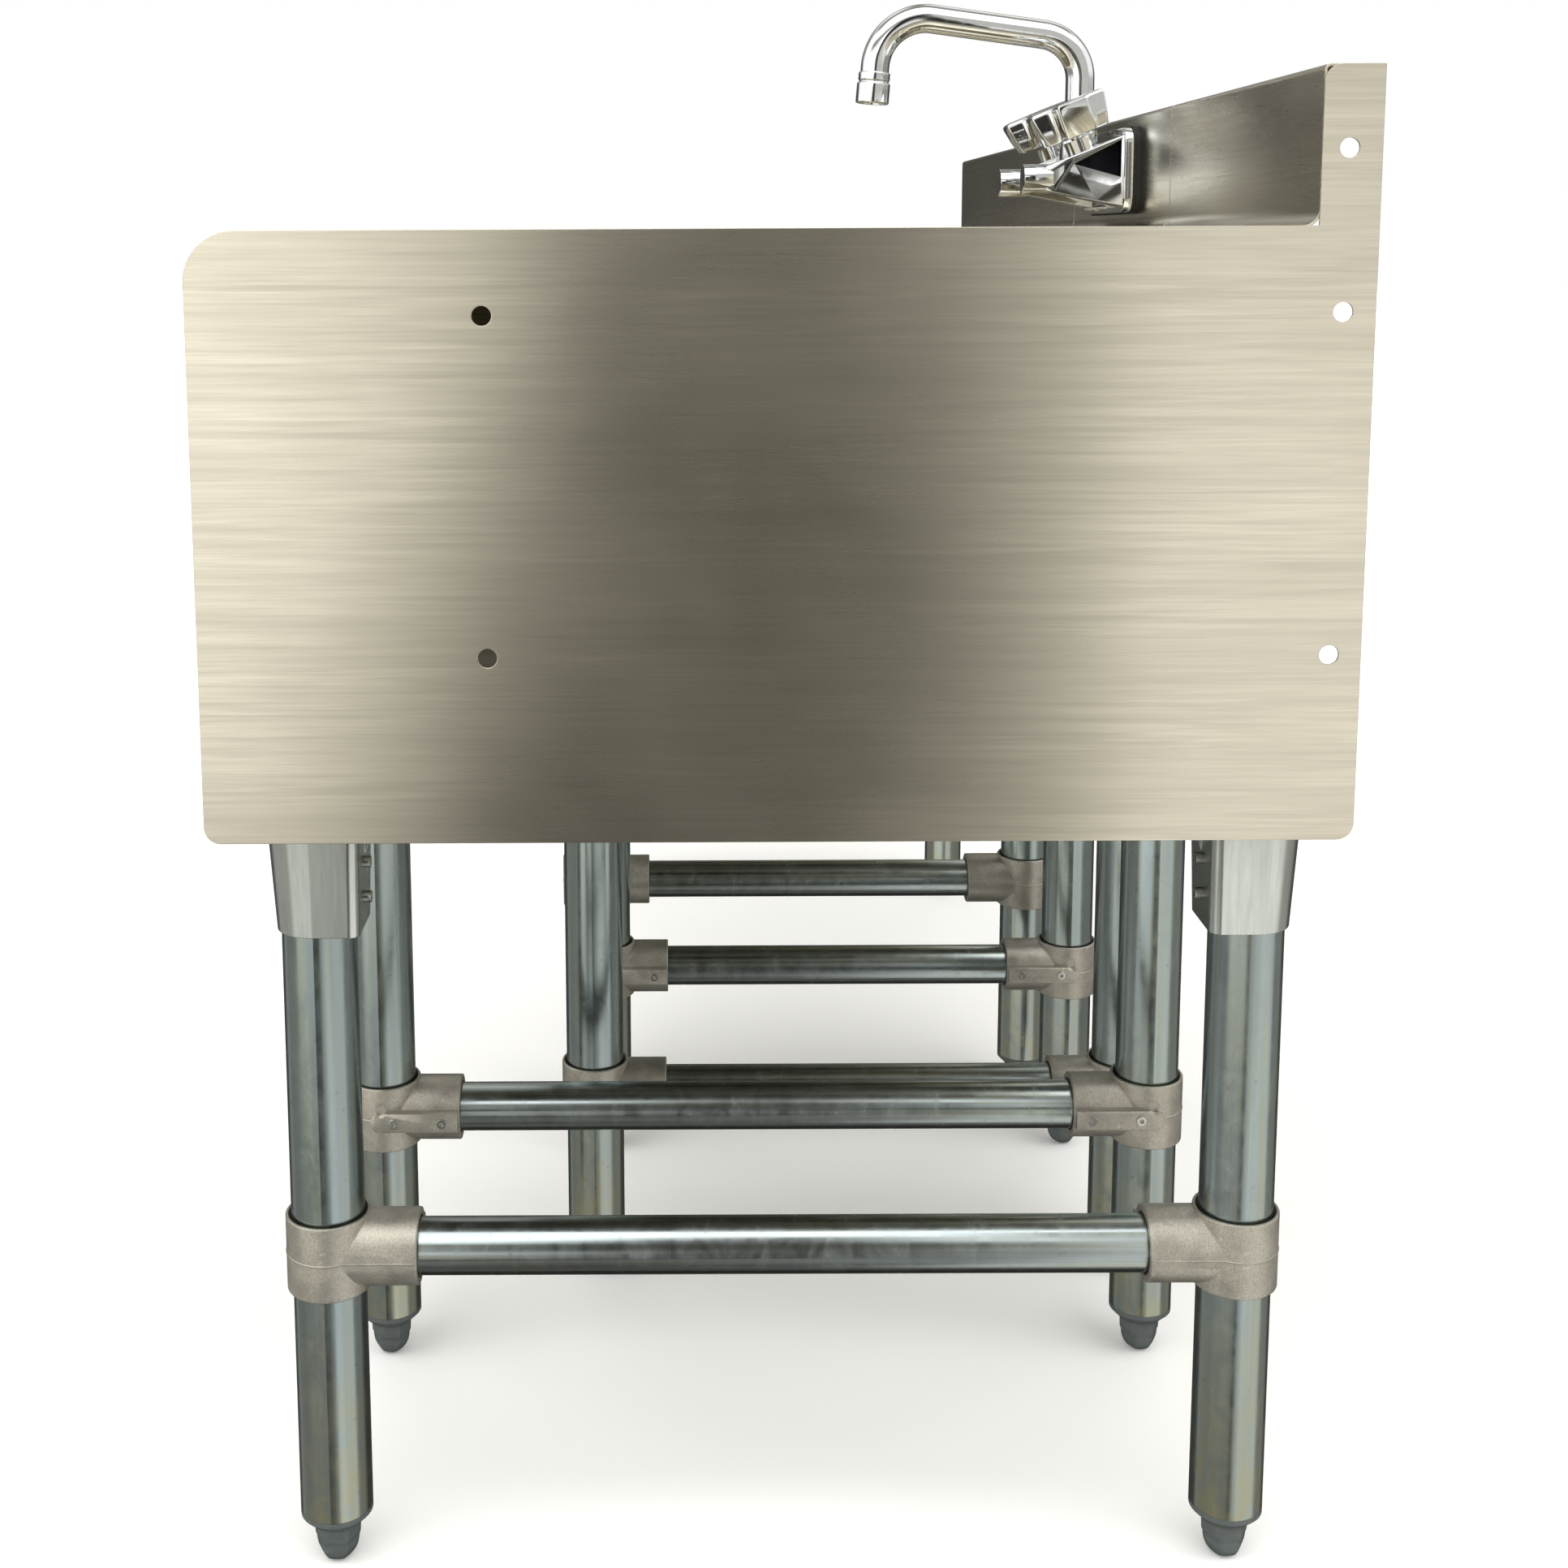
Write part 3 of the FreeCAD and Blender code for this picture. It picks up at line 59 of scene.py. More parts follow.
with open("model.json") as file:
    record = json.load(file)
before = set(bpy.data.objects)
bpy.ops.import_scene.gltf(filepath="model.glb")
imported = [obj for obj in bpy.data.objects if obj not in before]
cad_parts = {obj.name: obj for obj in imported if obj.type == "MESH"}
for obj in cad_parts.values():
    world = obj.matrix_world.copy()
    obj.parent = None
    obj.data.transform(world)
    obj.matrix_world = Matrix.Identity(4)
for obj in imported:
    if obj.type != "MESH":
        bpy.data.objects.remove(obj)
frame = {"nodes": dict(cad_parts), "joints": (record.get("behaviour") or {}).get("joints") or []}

PAIRS = ("deep_near", "deep_far", "basin_near", "basin_far", "board_near", "board_far")
PANELS = (
    "end_panel_near", "panel_deep_far", "panel_basin_near", "panel_basin_far",
    "panel_board_near", "end_panel_far",
)
MM = 0.001
BELT_SKEW = (0.02, 0.03, 0.025)


# ------------------------------------------------------------------ sizes and colours


class ShellProperties(bpy.types.PropertyGroup):
    """The sheet-metal shell"""

    colour: StringProperty(
        name="Steel", description="sRGB hex of the brushed stainless sheet", default="#DFD9C8"
    )
    gusset: StringProperty(
        name="Gusset steel", description="sRGB hex of the gussets' sheet", default="#D4DAD5"
    )
    roughness: FloatProperty(
        name="Roughness", description="Mean roughness of the brushed sheet",
        default=0.27, min=0.05, max=1.0, subtype="FACTOR",
    )
    grain: FloatProperty(
        name="Grain spacing", description="Distance from one brushed line to the next",
        default=0.0012, min=0.0002, max=0.01, unit="LENGTH",
    )
    edge: FloatProperty(
        name="Edge rounding", description="Radius along cut and folded edges",
        default=0.0006, min=0.0001, max=0.003, unit="LENGTH",
    )


class TubeProperties(bpy.types.PropertyGroup):
    """Legs and braces"""

    colour: StringProperty(
        name="Zinc", description="sRGB hex of the plated braces", default="#B8C3C5"
    )
    # The legs' colour is the braces' zinc made darker: painted shade for the dark surroundings that the
    # legs reflect.
    leg_shaded_colour: StringProperty(
        name="Leg zinc", description="sRGB hex of the plated legs", default="#A1AEB0"
    )
    warm: StringProperty(
        name="Warm lines", description="sRGB hex of the olive draw lines", default="#A3A797"
    )
    stain: StringProperty(
        name="Passivation", description="sRGB hex of the yellow tint at a leg's foot",
        default="#A7A588",
    )
    stain_height: FloatProperty(
        name="Tint height", description="How far up the tint is seen",
        default=0.16, min=0.01, max=1.0, unit="LENGTH",
    )


class SocketProperties(bpy.types.PropertyGroup):
    """Cast tees between legs and braces"""

    colour: StringProperty(
        name="Casting", description="sRGB hex of the cast metal", default="#B8B3A7"
    )
    wall: FloatProperty(
        name="Ring wall", description="Casting outside the leg",
        default=0.00335, min=0.001, max=0.01, unit="LENGTH",
    )
    tall: FloatProperty(
        name="Ring height", description="Casting along the leg",
        default=0.044, min=0.02, max=0.1, unit="LENGTH",
    )
    side_wall: FloatProperty(
        name="Side wall", description="Casting outside the brace",
        default=0.00535, min=0.001, max=0.01, unit="LENGTH",
    )
    reach: FloatProperty(
        name="Side reach", description="Side tube's end from the leg's axis",
        default=0.052, min=0.03, max=0.1, unit="LENGTH",
    )
    edge: FloatProperty(
        name="Rim rounding", description="Radius along the casting's edges",
        default=0.0009, min=0.0003, max=0.003, unit="LENGTH",
    )
    ridge: FloatProperty(
        name="Parting ridge", description="How far the mould's parting line stands out",
        default=0.00035, min=0.0, max=0.002, unit="LENGTH",
    )


class FaucetProperties(bpy.types.PropertyGroup):
    """The plated faucet"""

    colour: StringProperty(
        name="Chrome", description="sRGB hex of the plated metal", default="#D8DADB"
    )
    segments: IntProperty(
        name="Segments", description="Steps round the spout's tube", default=64, min=12, max=128
    )
    deck: FloatProperty(
        name="Deck", description="Height of the working surface above the floor",
        default=0.762, min=0.5, max=1.2, unit="LENGTH",
    )
    lobe: FloatProperty(
        name="Lobe width", description="Width of each of a handle's four lobes",
        default=0.0215, min=0.01, max=0.04, unit="LENGTH",
    )


class FootProperties(bpy.types.PropertyGroup):
    """Bullet feet and leg plugs"""

    colour: StringProperty(
        name="Plastic", description="sRGB hex of the moulded feet", default="#4A5150"
    )


class StageProperties(bpy.types.PropertyGroup):
    """Floor, light and camera"""

    floor_colour: StringProperty(
        name="Floor", description="sRGB hex of the plain floor", default="#FBFBF9"
    )
    fill: FloatProperty(
        name="Fill", description="Strength of the even light from all round",
        default=0.38, min=0.0, max=10.0,
    )
    lens: FloatProperty(
        name="Lens", description="Focal length", default=45.02, min=10.0, max=300.0, unit="CAMERA"
    )
    shift: FloatVectorProperty(
        name="Shift", description="Lens shift, sideways and up", size=2, default=(0.0675, -0.1747)
    )
    distance: FloatProperty(
        name="Distance", description="Camera in front of the near end panel",
        default=0.986, min=0.2, max=10.0, unit="LENGTH",
    )
    place: FloatVectorProperty(
        name="Camera", description="Camera's place along the depth and above the floor", size=2,
        default=(-0.0497, 0.7574), unit="LENGTH",
    )
    pitch: FloatProperty(
        name="Tilt down", description="Camera's tilt below level", default=0.138,
        min=-1.5, max=1.5, subtype="ANGLE", unit="ROTATION",
    )
    turn: FloatProperty(
        name="Turn", description="Camera's turn towards the wall", default=-0.0016,
        min=-1.5, max=1.5, subtype="ANGLE", unit="ROTATION",
    )
    roll: FloatProperty(
        name="Roll", description="Camera's roll", default=0.0047,
        min=-1.5, max=1.5, subtype="ANGLE", unit="ROTATION",
    )


# ------------------------------------------------------------------ helpers for finishes


def linear(text):
    """An sRGB hex colour as linear RGBA."""
    channels = [int(text[i:i + 2], 16) / 255 for i in (1, 3, 5)]
    return [c / 12.92 if c <= 0.04045 else ((c + 0.055) / 1.055) ** 2.4 for c in channels] + [1.0]


def add(tree, kind, sockets=None, **settings):
    """Adds a node. A socket's value is a number, a colour, or another node's output to link."""
    made = tree.nodes.new(kind)
    for name, value in settings.items():
        setattr(made, name, value)
    for name, value in (sockets or {}).items():
        if isinstance(value, bpy.types.NodeSocket):
            tree.links.new(value, made.inputs[name])
        else:
            made.inputs[name].default_value = value
    return made


def blank(name):
    """An empty material and its tree."""
    made = bpy.data.materials.new(name)
    made.use_nodes = True
    made.node_tree.nodes.clear()
    return made, made.node_tree


def finish(tree, shader):
    add(tree, "ShaderNodeOutputMaterial", {"Surface": shader.outputs[0]})


def in_mm(tree, across=(1.0, 1.0, 1.0)):
    """Coordinates in millimetres, divided along each axis by a spacing."""
    place = add(tree, "ShaderNodeTexCoord")
    return add(
        tree, "ShaderNodeMapping",
        {"Vector": place.outputs["Object"], "Scale": [1000.0 / a for a in across]},
    ).outputs[0]


def spread(tree, value, low, high, start=0.0, end=1.0):
    """Takes a value from one range to another, clamped."""
    return add(
        tree, "ShaderNodeMapRange",
        {"Value": value, "From Min": start, "From Max": end, "To Min": low, "To Max": high},
    ).outputs[0]


def mix(tree, factor, first, second):
    """Mixes two colours, each given as a value or as a node's output."""
    return add(
        tree, "ShaderNodeMix", {0: factor, 6: first, 7: second}, data_type="RGBA"
    ).outputs[2]


def shaded(colour, share):
    """A linear colour made darker or lighter by a share."""
    return [c * share for c in colour[:3]] + [1.0]


def rounded_normal(tree, radius, height=None, strength=0.2, distance=0.0001):
    """A normal with softened edges and, where given, fine relief from a height."""
    edge = add(tree, "ShaderNodeBevel", {"Radius": radius}, samples=6).outputs[0]
    if height is None:
        return edge
    return add(
        tree, "ShaderNodeBump",
        {"Strength": strength, "Distance": distance, "Height": height, "Normal": edge},
    ).outputs[0]


def noise(tree, spacing, detail=2.0, rough=0.5, distortion=0.0):
    """Noise whose lumps are that many millimetres apart along each axis."""
    return add(
        tree, "ShaderNodeTexNoise",
        {"Vector": in_mm(tree, spacing), "Scale": 1.0, "Detail": detail, "Roughness": rough,
         "Distortion": distortion},
    ).outputs[0]


def along(grain_axis, with_grain, across):
    """Spacings that are long with the grain and short across it."""
    spacing = [across] * 3
    spacing[grain_axis] = with_grain
    return spacing


def maths(tree, operation, *values):
    """One step of arithmetic on numbers and outputs."""
    return add(
        tree, "ShaderNodeMath", dict(enumerate(values)), operation=operation
    ).outputs[0]


def vectors(tree, operation, sockets):
    """One step of arithmetic on directions or colours."""
    return add(tree, "ShaderNodeVectorMath", sockets, operation=operation).outputs[0]


def total(tree, *values):
    """Adds up numbers and outputs."""
    done = values[0]
    for value in values[1:]:
        done = maths(tree, "ADD", done, value)
    return done


def place_parts(tree):
    """X, Y and Z of the shaded point, in metres."""
    return add(
        tree, "ShaderNodeSeparateXYZ", {0: add(tree, "ShaderNodeTexCoord").outputs["Object"]}
    ).outputs


def brushed_stainless(name, look, grain_axis, smear=None, colour=None):
    """Cold-rolled 304 sheet with a number 4 belt finish: long fine lines that stretch each
    reflection across the grain, broken streaks, and faint handling smudges. A smear axis is
    the way that reflections stretch on a piece brushed round its bend."""
    made, tree = blank(name)
    # The real lines are 0.1 to 0.2 mm apart; they are drawn coarser so that they show.
    lines = noise(tree, along(grain_axis, 70.0, look.grain / MM), 3.0, 0.65)
    streaks = noise(tree, along(grain_axis, 130.0, 3.4), 3.0, 0.6, 0.25)
    bands = noise(tree, along(grain_axis, 380.0, 16.0), 2.0, 0.5, 0.3)
    smudges = noise(tree, (130.0, 130.0, 100.0), 2.0, 0.5, 0.4)
    base = linear(colour or look.colour)
    lined = mix(tree, spread(tree, lines, 0.0, 1.0, 0.3, 0.7), shaded(base, 0.86), base)
    streaked = mix(
        tree, spread(tree, streaks, 0.0, 0.75, 0.42, 0.68), lined, shaded(base, 0.70)
    )
    banded = mix(tree, spread(tree, bands, 0.0, 0.62, 0.35, 0.72), streaked, shaded(base, 0.76))
    dulled = mix(
        tree, spread(tree, smudges, 0.0, 0.12, 0.45, 0.75), banded, linear("#A59B84")
    )
    rough = total(
        tree, spread(tree, streaks, -0.03, 0.04), spread(tree, smudges, -0.01, 0.03, 0.35, 0.7),
        look.roughness,
    )
    # A belt never runs quite true; the small skew also gives a face that the grain meets end on
    # a direction of its own.
    way = list(BELT_SKEW)
    way[grain_axis] = 1.0
    # Reflections stretch at right angles to the lines.
    facing = add(tree, "ShaderNodeNewGeometry").outputs["Normal"]
    across = vectors(tree, "CROSS_PRODUCT", {0: facing, 1: way})
    if smear is not None:
        fixed = list(BELT_SKEW)
        fixed[smear] = 1.0
        across = add(tree, "ShaderNodeCombineXYZ", dict(enumerate(fixed))).outputs[0]
    finish(tree, add(tree, "ShaderNodeBsdfPrincipled", {
        "Base Color": dulled, "Metallic": 1.0, "Roughness": rough, "Anisotropic": 0.85,
        "Tangent": across, "Normal": rounded_normal(tree, look.edge, streaks, 0.10, 0.0001),
    }))
    return made


def zinc_tube(name, look, length_axis, colour):
    """Drawn steel tube, electroplated with zinc and passivated: smooth and glossy, bluish with
    olive lines along its length, faintly mottled, with a yellow cast at a leg's foot."""
    made, tree = blank(name)
    mottle = noise(tree, (13.0, 13.0, 22.0), 5.0, 0.65, 0.8)
    draw = noise(tree, along(length_axis, 240.0, 2.6), 2.0, 0.55)
    broad = noise(tree, along(length_axis, 420.0, 9.0), 1.0, 0.5)
    specks = add(
        tree, "ShaderNodeTexVoronoi", {"Vector": in_mm(tree, (11.0, 11.0, 11.0)), "Scale": 1.0}
    ).outputs["Distance"]
    base = linear(colour)
    lined = mix(tree, spread(tree, draw, 0.0, 0.85, 0.38, 0.64), base, linear(look.warm))
    toned = mix(tree, spread(tree, broad, 0.0, 0.7, 0.40, 0.68), lined, shaded(base, 0.72))
    low = spread(tree, place_parts(tree)["Z"], 0.9, 0.0, 0.03, look.stain_height)
    tint = maths(tree, "MULTIPLY", low, spread(tree, mottle, 0.1, 1.0, 0.38, 0.62))
    stained = mix(tree, tint, toned, linear(look.stain))
    clouded = mix(tree, spread(tree, mottle, 0.25, 0.0, 0.3, 0.6), stained, shaded(base, 0.6))
    pitted = mix(tree, spread(tree, specks, 0.4, 0.0, 0.0, 0.14), clouded, shaded(base, 0.4))
    finish(tree, add(tree, "ShaderNodeBsdfPrincipled", {
        "Base Color": pitted, "Metallic": 1.0,
        "Roughness": spread(tree, mottle, 0.17, 0.29, 0.3, 0.7),
        "Normal": rounded_normal(tree, 0.0006, draw, 0.16, 0.0001),
    }))
    return made


def cast_zinc(name, look):
    """Gravity-cast zinc alloy, tumbled and painted with a thin metallic wash: a dense warm grey
    skin with a fine sandy grain, clouded, and rubbed brighter here and there."""
    made, tree = blank(name)
    # Tumbling leaves a tooth of about 0.3 mm; it is drawn at 0.9 mm so that it shows.
    grain = noise(tree, (0.9, 0.9, 0.9), 4.0, 0.7)
    cloud = noise(tree, (12.0, 12.0, 12.0), 3.0, 0.5)
    rubs = noise(tree, (5.0, 5.0, 5.0), 5.0, 0.7, 0.5)
    base = linear(look.colour)
    clouded = mix(tree, spread(tree, cloud, 0.0, 1.0, 0.35, 0.65), shaded(base, 0.80), base)
    pits = mix(tree, spread(tree, grain, 0.80, 0.0, 0.36, 0.54), clouded, shaded(base, 0.55))
    rubbed = mix(tree, spread(tree, rubs, 0.0, 0.5, 0.60, 0.72), pits, linear("#DCDAD0"))
    finish(tree, add(tree, "ShaderNodeBsdfPrincipled", {
        "Base Color": rubbed, "Metallic": 0.75,
        "Roughness": spread(tree, cloud, 0.33, 0.44, 0.35, 0.65),
        "Normal": rounded_normal(tree, look.edge, grain, 0.45, 0.0003),
    }))
    return made


def moulded_plastic(name, look):
    """Injection-moulded nylon: dark blue-grey with a faint sheen from a satin mould, scuffed
    where it has been slid about."""
    made, tree = blank(name)
    texture = noise(tree, (0.8, 0.8, 0.8))
    scuff = noise(tree, (12.0, 12.0, 3.0), 6.0, 0.75)
    base = linear(look.colour)
    marked = mix(tree, spread(tree, scuff, 0.0, 0.5, 0.55, 0.75), base, linear("#6A706F"))
    finish(tree, add(tree, "ShaderNodeBsdfPrincipled", {
        "Base Color": marked, "Roughness": spread(tree, scuff, 0.38, 0.6, 0.4, 0.7),
        "IOR": 1.53, "Normal": rounded_normal(tree, 0.0009, texture, 0.25, 0.0001),
    }))
    return made


def polished_metal(name, text, roughness, edge, wobble, pockets=None):
    """Polished metal or bright plate over it: near-mirror, with the slight unevenness of hand
    polishing, and water spots that dull it a little. Where pockets say so the plate gives way
    to a near-black, low-gloss colour, painted shade inside the recesses."""
    made, tree = blank(name)
    wave = noise(tree, (18.0, 18.0, 18.0), 1.0)
    spots = noise(tree, (4.5, 4.5, 4.5), 5.0, 0.7)
    base = linear(text)
    colour = mix(tree, spread(tree, spots, 0.0, 1.0, 0.5, 0.8), base, shaded(base, 0.9))
    shader = add(
        tree, "ShaderNodeBsdfPrincipled",
        {"Base Color": colour, "Metallic": 1.0,
         "Roughness": spread(tree, spots, roughness, roughness + 0.08, 0.45, 0.75),
         "Normal": rounded_normal(tree, edge, wave, 0.10, wobble)},
    )
    if pockets:
        # Near-black, low-gloss colour inside the pockets: painted shade in the recesses.
        pocket_shade = add(
            tree, "ShaderNodeBsdfPrincipled",
            {"Base Color": linear("#03050F"), "Roughness": 0.35, "Specular IOR Level": 0.12},
        )
        shader = add(
            tree, "ShaderNodeMixShader",
            {0: in_pockets(tree, *pockets), 1: shader.outputs[0], 2: pocket_shade.outputs[0]},
        )
    finish(tree, shader)
    return made


# The pocket's floor from the casting's middle, its rear side from the wall, and its lower and
# upper sides above the deck, with how far each falls per metre out from the wall.
POCKET = {
    "floor": 0.0555, "rear": 0.0127, "foot": 0.0319, "foot_slope": -0.290,
    "head": 0.0680, "head_slope": 0.516, "blend": 0.0001,
}


def in_pockets(tree, middle, wall, deck):
    """One inside the three-cornered pockets in the two ends of the faucet's casting."""
    x, y, z = place_parts(tree)
    aside = maths(tree, "ABSOLUTE", maths(tree, "SUBTRACT", x, middle))
    out = maths(tree, "SUBTRACT", wall, y)
    up = maths(tree, "SUBTRACT", z, deck)
    foot = maths(tree, "MULTIPLY_ADD", out, POCKET["foot_slope"], up)
    head = maths(tree, "MULTIPLY_ADD", out, POCKET["head_slope"], up)
    inside = spread(tree, aside, 0.0, 1.0, POCKET["floor"], POCKET["floor"] + POCKET["blend"])
    for value, low, high, side in (
        (out, 0.0, 1.0, "rear"), (foot, 0.0, 1.0, "foot"), (head, 1.0, 0.0, "head"),
    ):
        edge = spread(
            tree, value, low, high, POCKET[side] - POCKET["blend"], POCKET[side] + POCKET["blend"]
        )
        inside = maths(tree, "MULTIPLY", inside, edge)
    return inside


def zinc_fastener(name):
    """Bright zinc-plated steel screws and bolts, a little dulled."""
    return polished_metal(name, "#C6C7C4", 0.22, 0.0005, 0.0004)


def moulded_rubber(name):
    """Black gasket rubber: matt, with a dusty bloom."""
    made, tree = blank(name)
    bloom = noise(tree, (6.0, 6.0, 6.0), 4.0)
    colour = mix(tree, spread(tree, bloom, 0.0, 0.3, 0.4, 0.8), linear("#060607"), linear("#2A2A2B"))
    finish(tree, add(tree, "ShaderNodeBsdfPrincipled", {
        "Base Color": colour, "Roughness": spread(tree, bloom, 0.55, 0.8),
        "IOR": 1.52, "Normal": rounded_normal(tree, 0.0006),
    }))
    return made


def dress(name, made):
    """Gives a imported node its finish."""
    node = frame["nodes"][name]
    node.data.materials.clear()
    node.data.materials.append(made)


# ------------------------------------------------------------------ helpers for meshes


def loft(mesh, loops, closed=False):
    """Joins loops of equal length with quads. A closed loft joins the last loop to the first;
    an open one is capped."""
    rings = [[mesh.verts.new(point) for point in loop] for loop in loops]
    pairs = list(zip(rings, rings[1:] + rings[:1])) if closed else list(zip(rings, rings[1:]))
    for first, second in pairs:
        count = len(first)
        for i in range(count):
            after = (i + 1) % count
            mesh.faces.new((first[i], first[after], second[after], second[i]))
    if not closed:
        mesh.faces.new(list(reversed(rings[0])))
        mesh.faces.new(rings[-1])
    return mesh


def circle(radius, height, steps):
    return [
        Vector((radius * math.cos(math.tau * s / steps), radius * math.sin(math.tau * s / steps),
                height))
        for s in range(steps)
    ]


def lathe(mesh, profile, place, steps=64, closed=False):
    """Turns (radius, height) points about the local Z of a placement."""
    return loft(
        mesh, [[place @ p for p in circle(radius, height, steps)] for radius, height in profile],
        closed,
    )


def rounded(points, radius, steps=4, closed=True):
    """Rounds the corners of an outline of (across, up) points."""
    done = []
    count = len(points)
    for i, point in enumerate(points):
        if not closed and i in (0, count - 1):
            done.append(tuple(point))
            continue
        here = Vector(point)
        before, after = Vector(points[i - 1]), Vector(points[(i + 1) % count])
        reach = min(radius, (before - here).length * 0.45, (after - here).length * 0.45)
        start = here + (before - here).normalized() * reach
        end = here + (after - here).normalized() * reach
        for s in range(steps + 1):
            t = s / steps
            done.append(tuple(start * (1 - t) ** 2 + here * 2 * t * (1 - t) + end * t * t))
    return done


def turned_to(axis, origin):
    """A placement whose local Z points along an axis."""
    return Matrix.Translation(origin) @ Vector(axis).to_track_quat("Z", "Y").to_matrix().to_4x4()


def swept(mesh, path, radius, steps):
    """A round bar along a path that lies in one upright plane."""
    loops = []
    for i, here in enumerate(path):
        ahead = (path[min(i + 1, len(path) - 1)] - path[max(i - 1, 0)]).normalized()
        side = Vector((1.0, 0.0, 0.0))
        up = ahead.cross(side)
        loops.append([
            here + radius * (math.cos(math.tau * s / steps) * side
                             + math.sin(math.tau * s / steps) * up)
            for s in range(steps)
        ])
    return loft(mesh, loops)


def bent_path(corners, radii, steps=16):
    """Straight runs with a true arc at each inner corner."""
    path = [corners[0]]
    for before, corner, after, radius in zip(corners, corners[1:], corners[2:], radii):
        into, out = (corner - before).normalized(), (after - corner).normalized()
        half = into.angle(out) / 2
        trim = radius * math.tan(half)
        centre = corner + (out - into).normalized() * radius / math.cos(half)
        first = corner - into * trim - centre
        axis = into.cross(out)
        for s in range(steps + 1):
            path.append(centre + Matrix.Rotation(2 * half * s / steps, 3, axis) @ first)
    return path + [corners[-1]]


def solid(mesh):
    """Closes off a bmesh as a throwaway object, for cutting and joining."""
    bmesh.ops.recalc_face_normals(mesh, faces=mesh.faces)
    data = bpy.data.meshes.new("scratch")
    mesh.to_mesh(data)
    mesh.free()
    thing = bpy.data.objects.new("scratch", data)
    bpy.context.scene.collection.objects.link(thing)
    return thing


def carved(base, joins, cuts):
    """Joins solids to a base and cuts others away, and gives the result as a bmesh."""
    for tool, way in [(j, "UNION") for j in joins] + [(c, "DIFFERENCE") for c in cuts]:
        step = base.modifiers.new(way, "BOOLEAN")
        step.operation, step.solver, step.object = way, "EXACT", tool
    shape = base.evaluated_get(bpy.context.evaluated_depsgraph_get())
    mesh = bmesh.new()
    mesh.from_mesh(shape.to_mesh())
    shape.to_mesh_clear()
    for thing in [base, *joins, *cuts]:
        data = thing.data
        bpy.data.objects.remove(thing)
        bpy.data.meshes.remove(data)
    bmesh.ops.remove_doubles(mesh, verts=mesh.verts, dist=0.000005)
    bmesh.ops.dissolve_degenerate(mesh, edges=mesh.edges, dist=0.000005)
    return mesh


def softened(name, width, sharp=28.0, steps=2):
    """A copy of a node's mesh with its hard edges rounded."""
    mesh = bmesh.new()
    mesh.from_mesh(frame["nodes"][name].data)
    bmesh.ops.remove_doubles(mesh, verts=mesh.verts, dist=0.00001)
    bmesh.ops.dissolve_limit(
        mesh, angle_limit=math.radians(0.6), verts=mesh.verts, edges=mesh.edges
    )
    hard = [
        e for e in mesh.edges
        if len(e.link_faces) == 2 and e.calc_face_angle(0.0) > math.radians(sharp)
    ]
    bmesh.ops.bevel(
        mesh, geom=hard, offset=width, segments=steps, profile=0.5, affect="EDGES",
        clamp_overlap=True, miter_outer="ARC",
    )
    return mesh


def mirrored(source, place):
    """A copy of a bmesh, placed, with its faces turned the right way round."""
    mesh = source.copy()
    mesh.transform(place)
    bmesh.ops.recalc_face_normals(mesh, faces=mesh.faces)
    return mesh


def merged(parts):
    """One bmesh from several, which are used up."""
    mesh = bmesh.new()
    for part in parts:
        data = bpy.data.meshes.new("scratch")
        part.to_mesh(data)
        part.free()
        mesh.from_mesh(data)
        bpy.data.meshes.remove(data)
    return mesh


def legs_of(pair):
    """A pair's leg radius and its front and rear axes, as (x, y)."""
    low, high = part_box("legs_" + pair)
    radius, x = (high.x - low.x) / 2, (high.x + low.x) / 2
    return radius, ((x, low.y + radius), (x, high.y - radius))


def piece(name, mesh, made, body, stands_for=(), angle=40.0):
    """Turns a bmesh into an object that moves with a body of the frame."""
    bmesh.ops.recalc_face_normals(mesh, faces=mesh.faces)
    data = bpy.data.meshes.new(name)
    mesh.to_mesh(data)
    mesh.free()
    data.materials.append(made)
    data.shade_smooth()
    data.set_sharp_from_angle(angle=math.radians(angle))
    thing = bpy.data.objects.new(name, data)
    bpy.context.scene.collection.objects.link(thing)
    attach(thing, body)
    if stands_for:
        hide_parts(*stands_for)
    return thing


# ------------------------------------------------------------------ the pieces


class HANDWASH_OT_shell(bpy.types.Operator):
    """Finishes the end panels, tops, bowl and leg gussets"""

    bl_idname = "handwash.shell"
    bl_label = "Sheet-metal shell"

    def execute(self, context):
        look = context.scene.handwash_shell
        side = brushed_stainless("Stainless panel, brushed front to back", look, 1)
        top = brushed_stainless("Stainless top, brushed side to side", look, 0)
        upright = brushed_stainless("Stainless gusset, brushed round its bend", look, 2, 2, look.gusset)
        for name in PANELS:
            dress(name, side)
        for name in ("deep_top", "basin_top", "board_top", "hand_bowl"):
            dress(name, top)
        for name in ("gussets_deep", "gussets_basin", "gussets_board"):
            dress(name, upright)
        return {"FINISHED"}


class HANDWASH_OT_tubes(bpy.types.Operator):
    """Finishes the legs and the braces between them"""

    bl_idname = "handwash.tubes"
    bl_label = "Legs and braces"

    def execute(self, context):
        look = context.scene.handwash_tubes
        # The legs get a darker copy of the braces' zinc as painted shade; legs and braces are one
        # metal.
        upright = zinc_tube("Zinc-plated steel leg tube", look, 2, look.leg_shaded_colour)
        level = zinc_tube("Zinc-plated steel brace tube", look, 1, look.colour)
        for pair in PAIRS:
            dress("legs_" + pair, upright)
            dress("brace_" + pair, level)
        return {"FINISHED"}


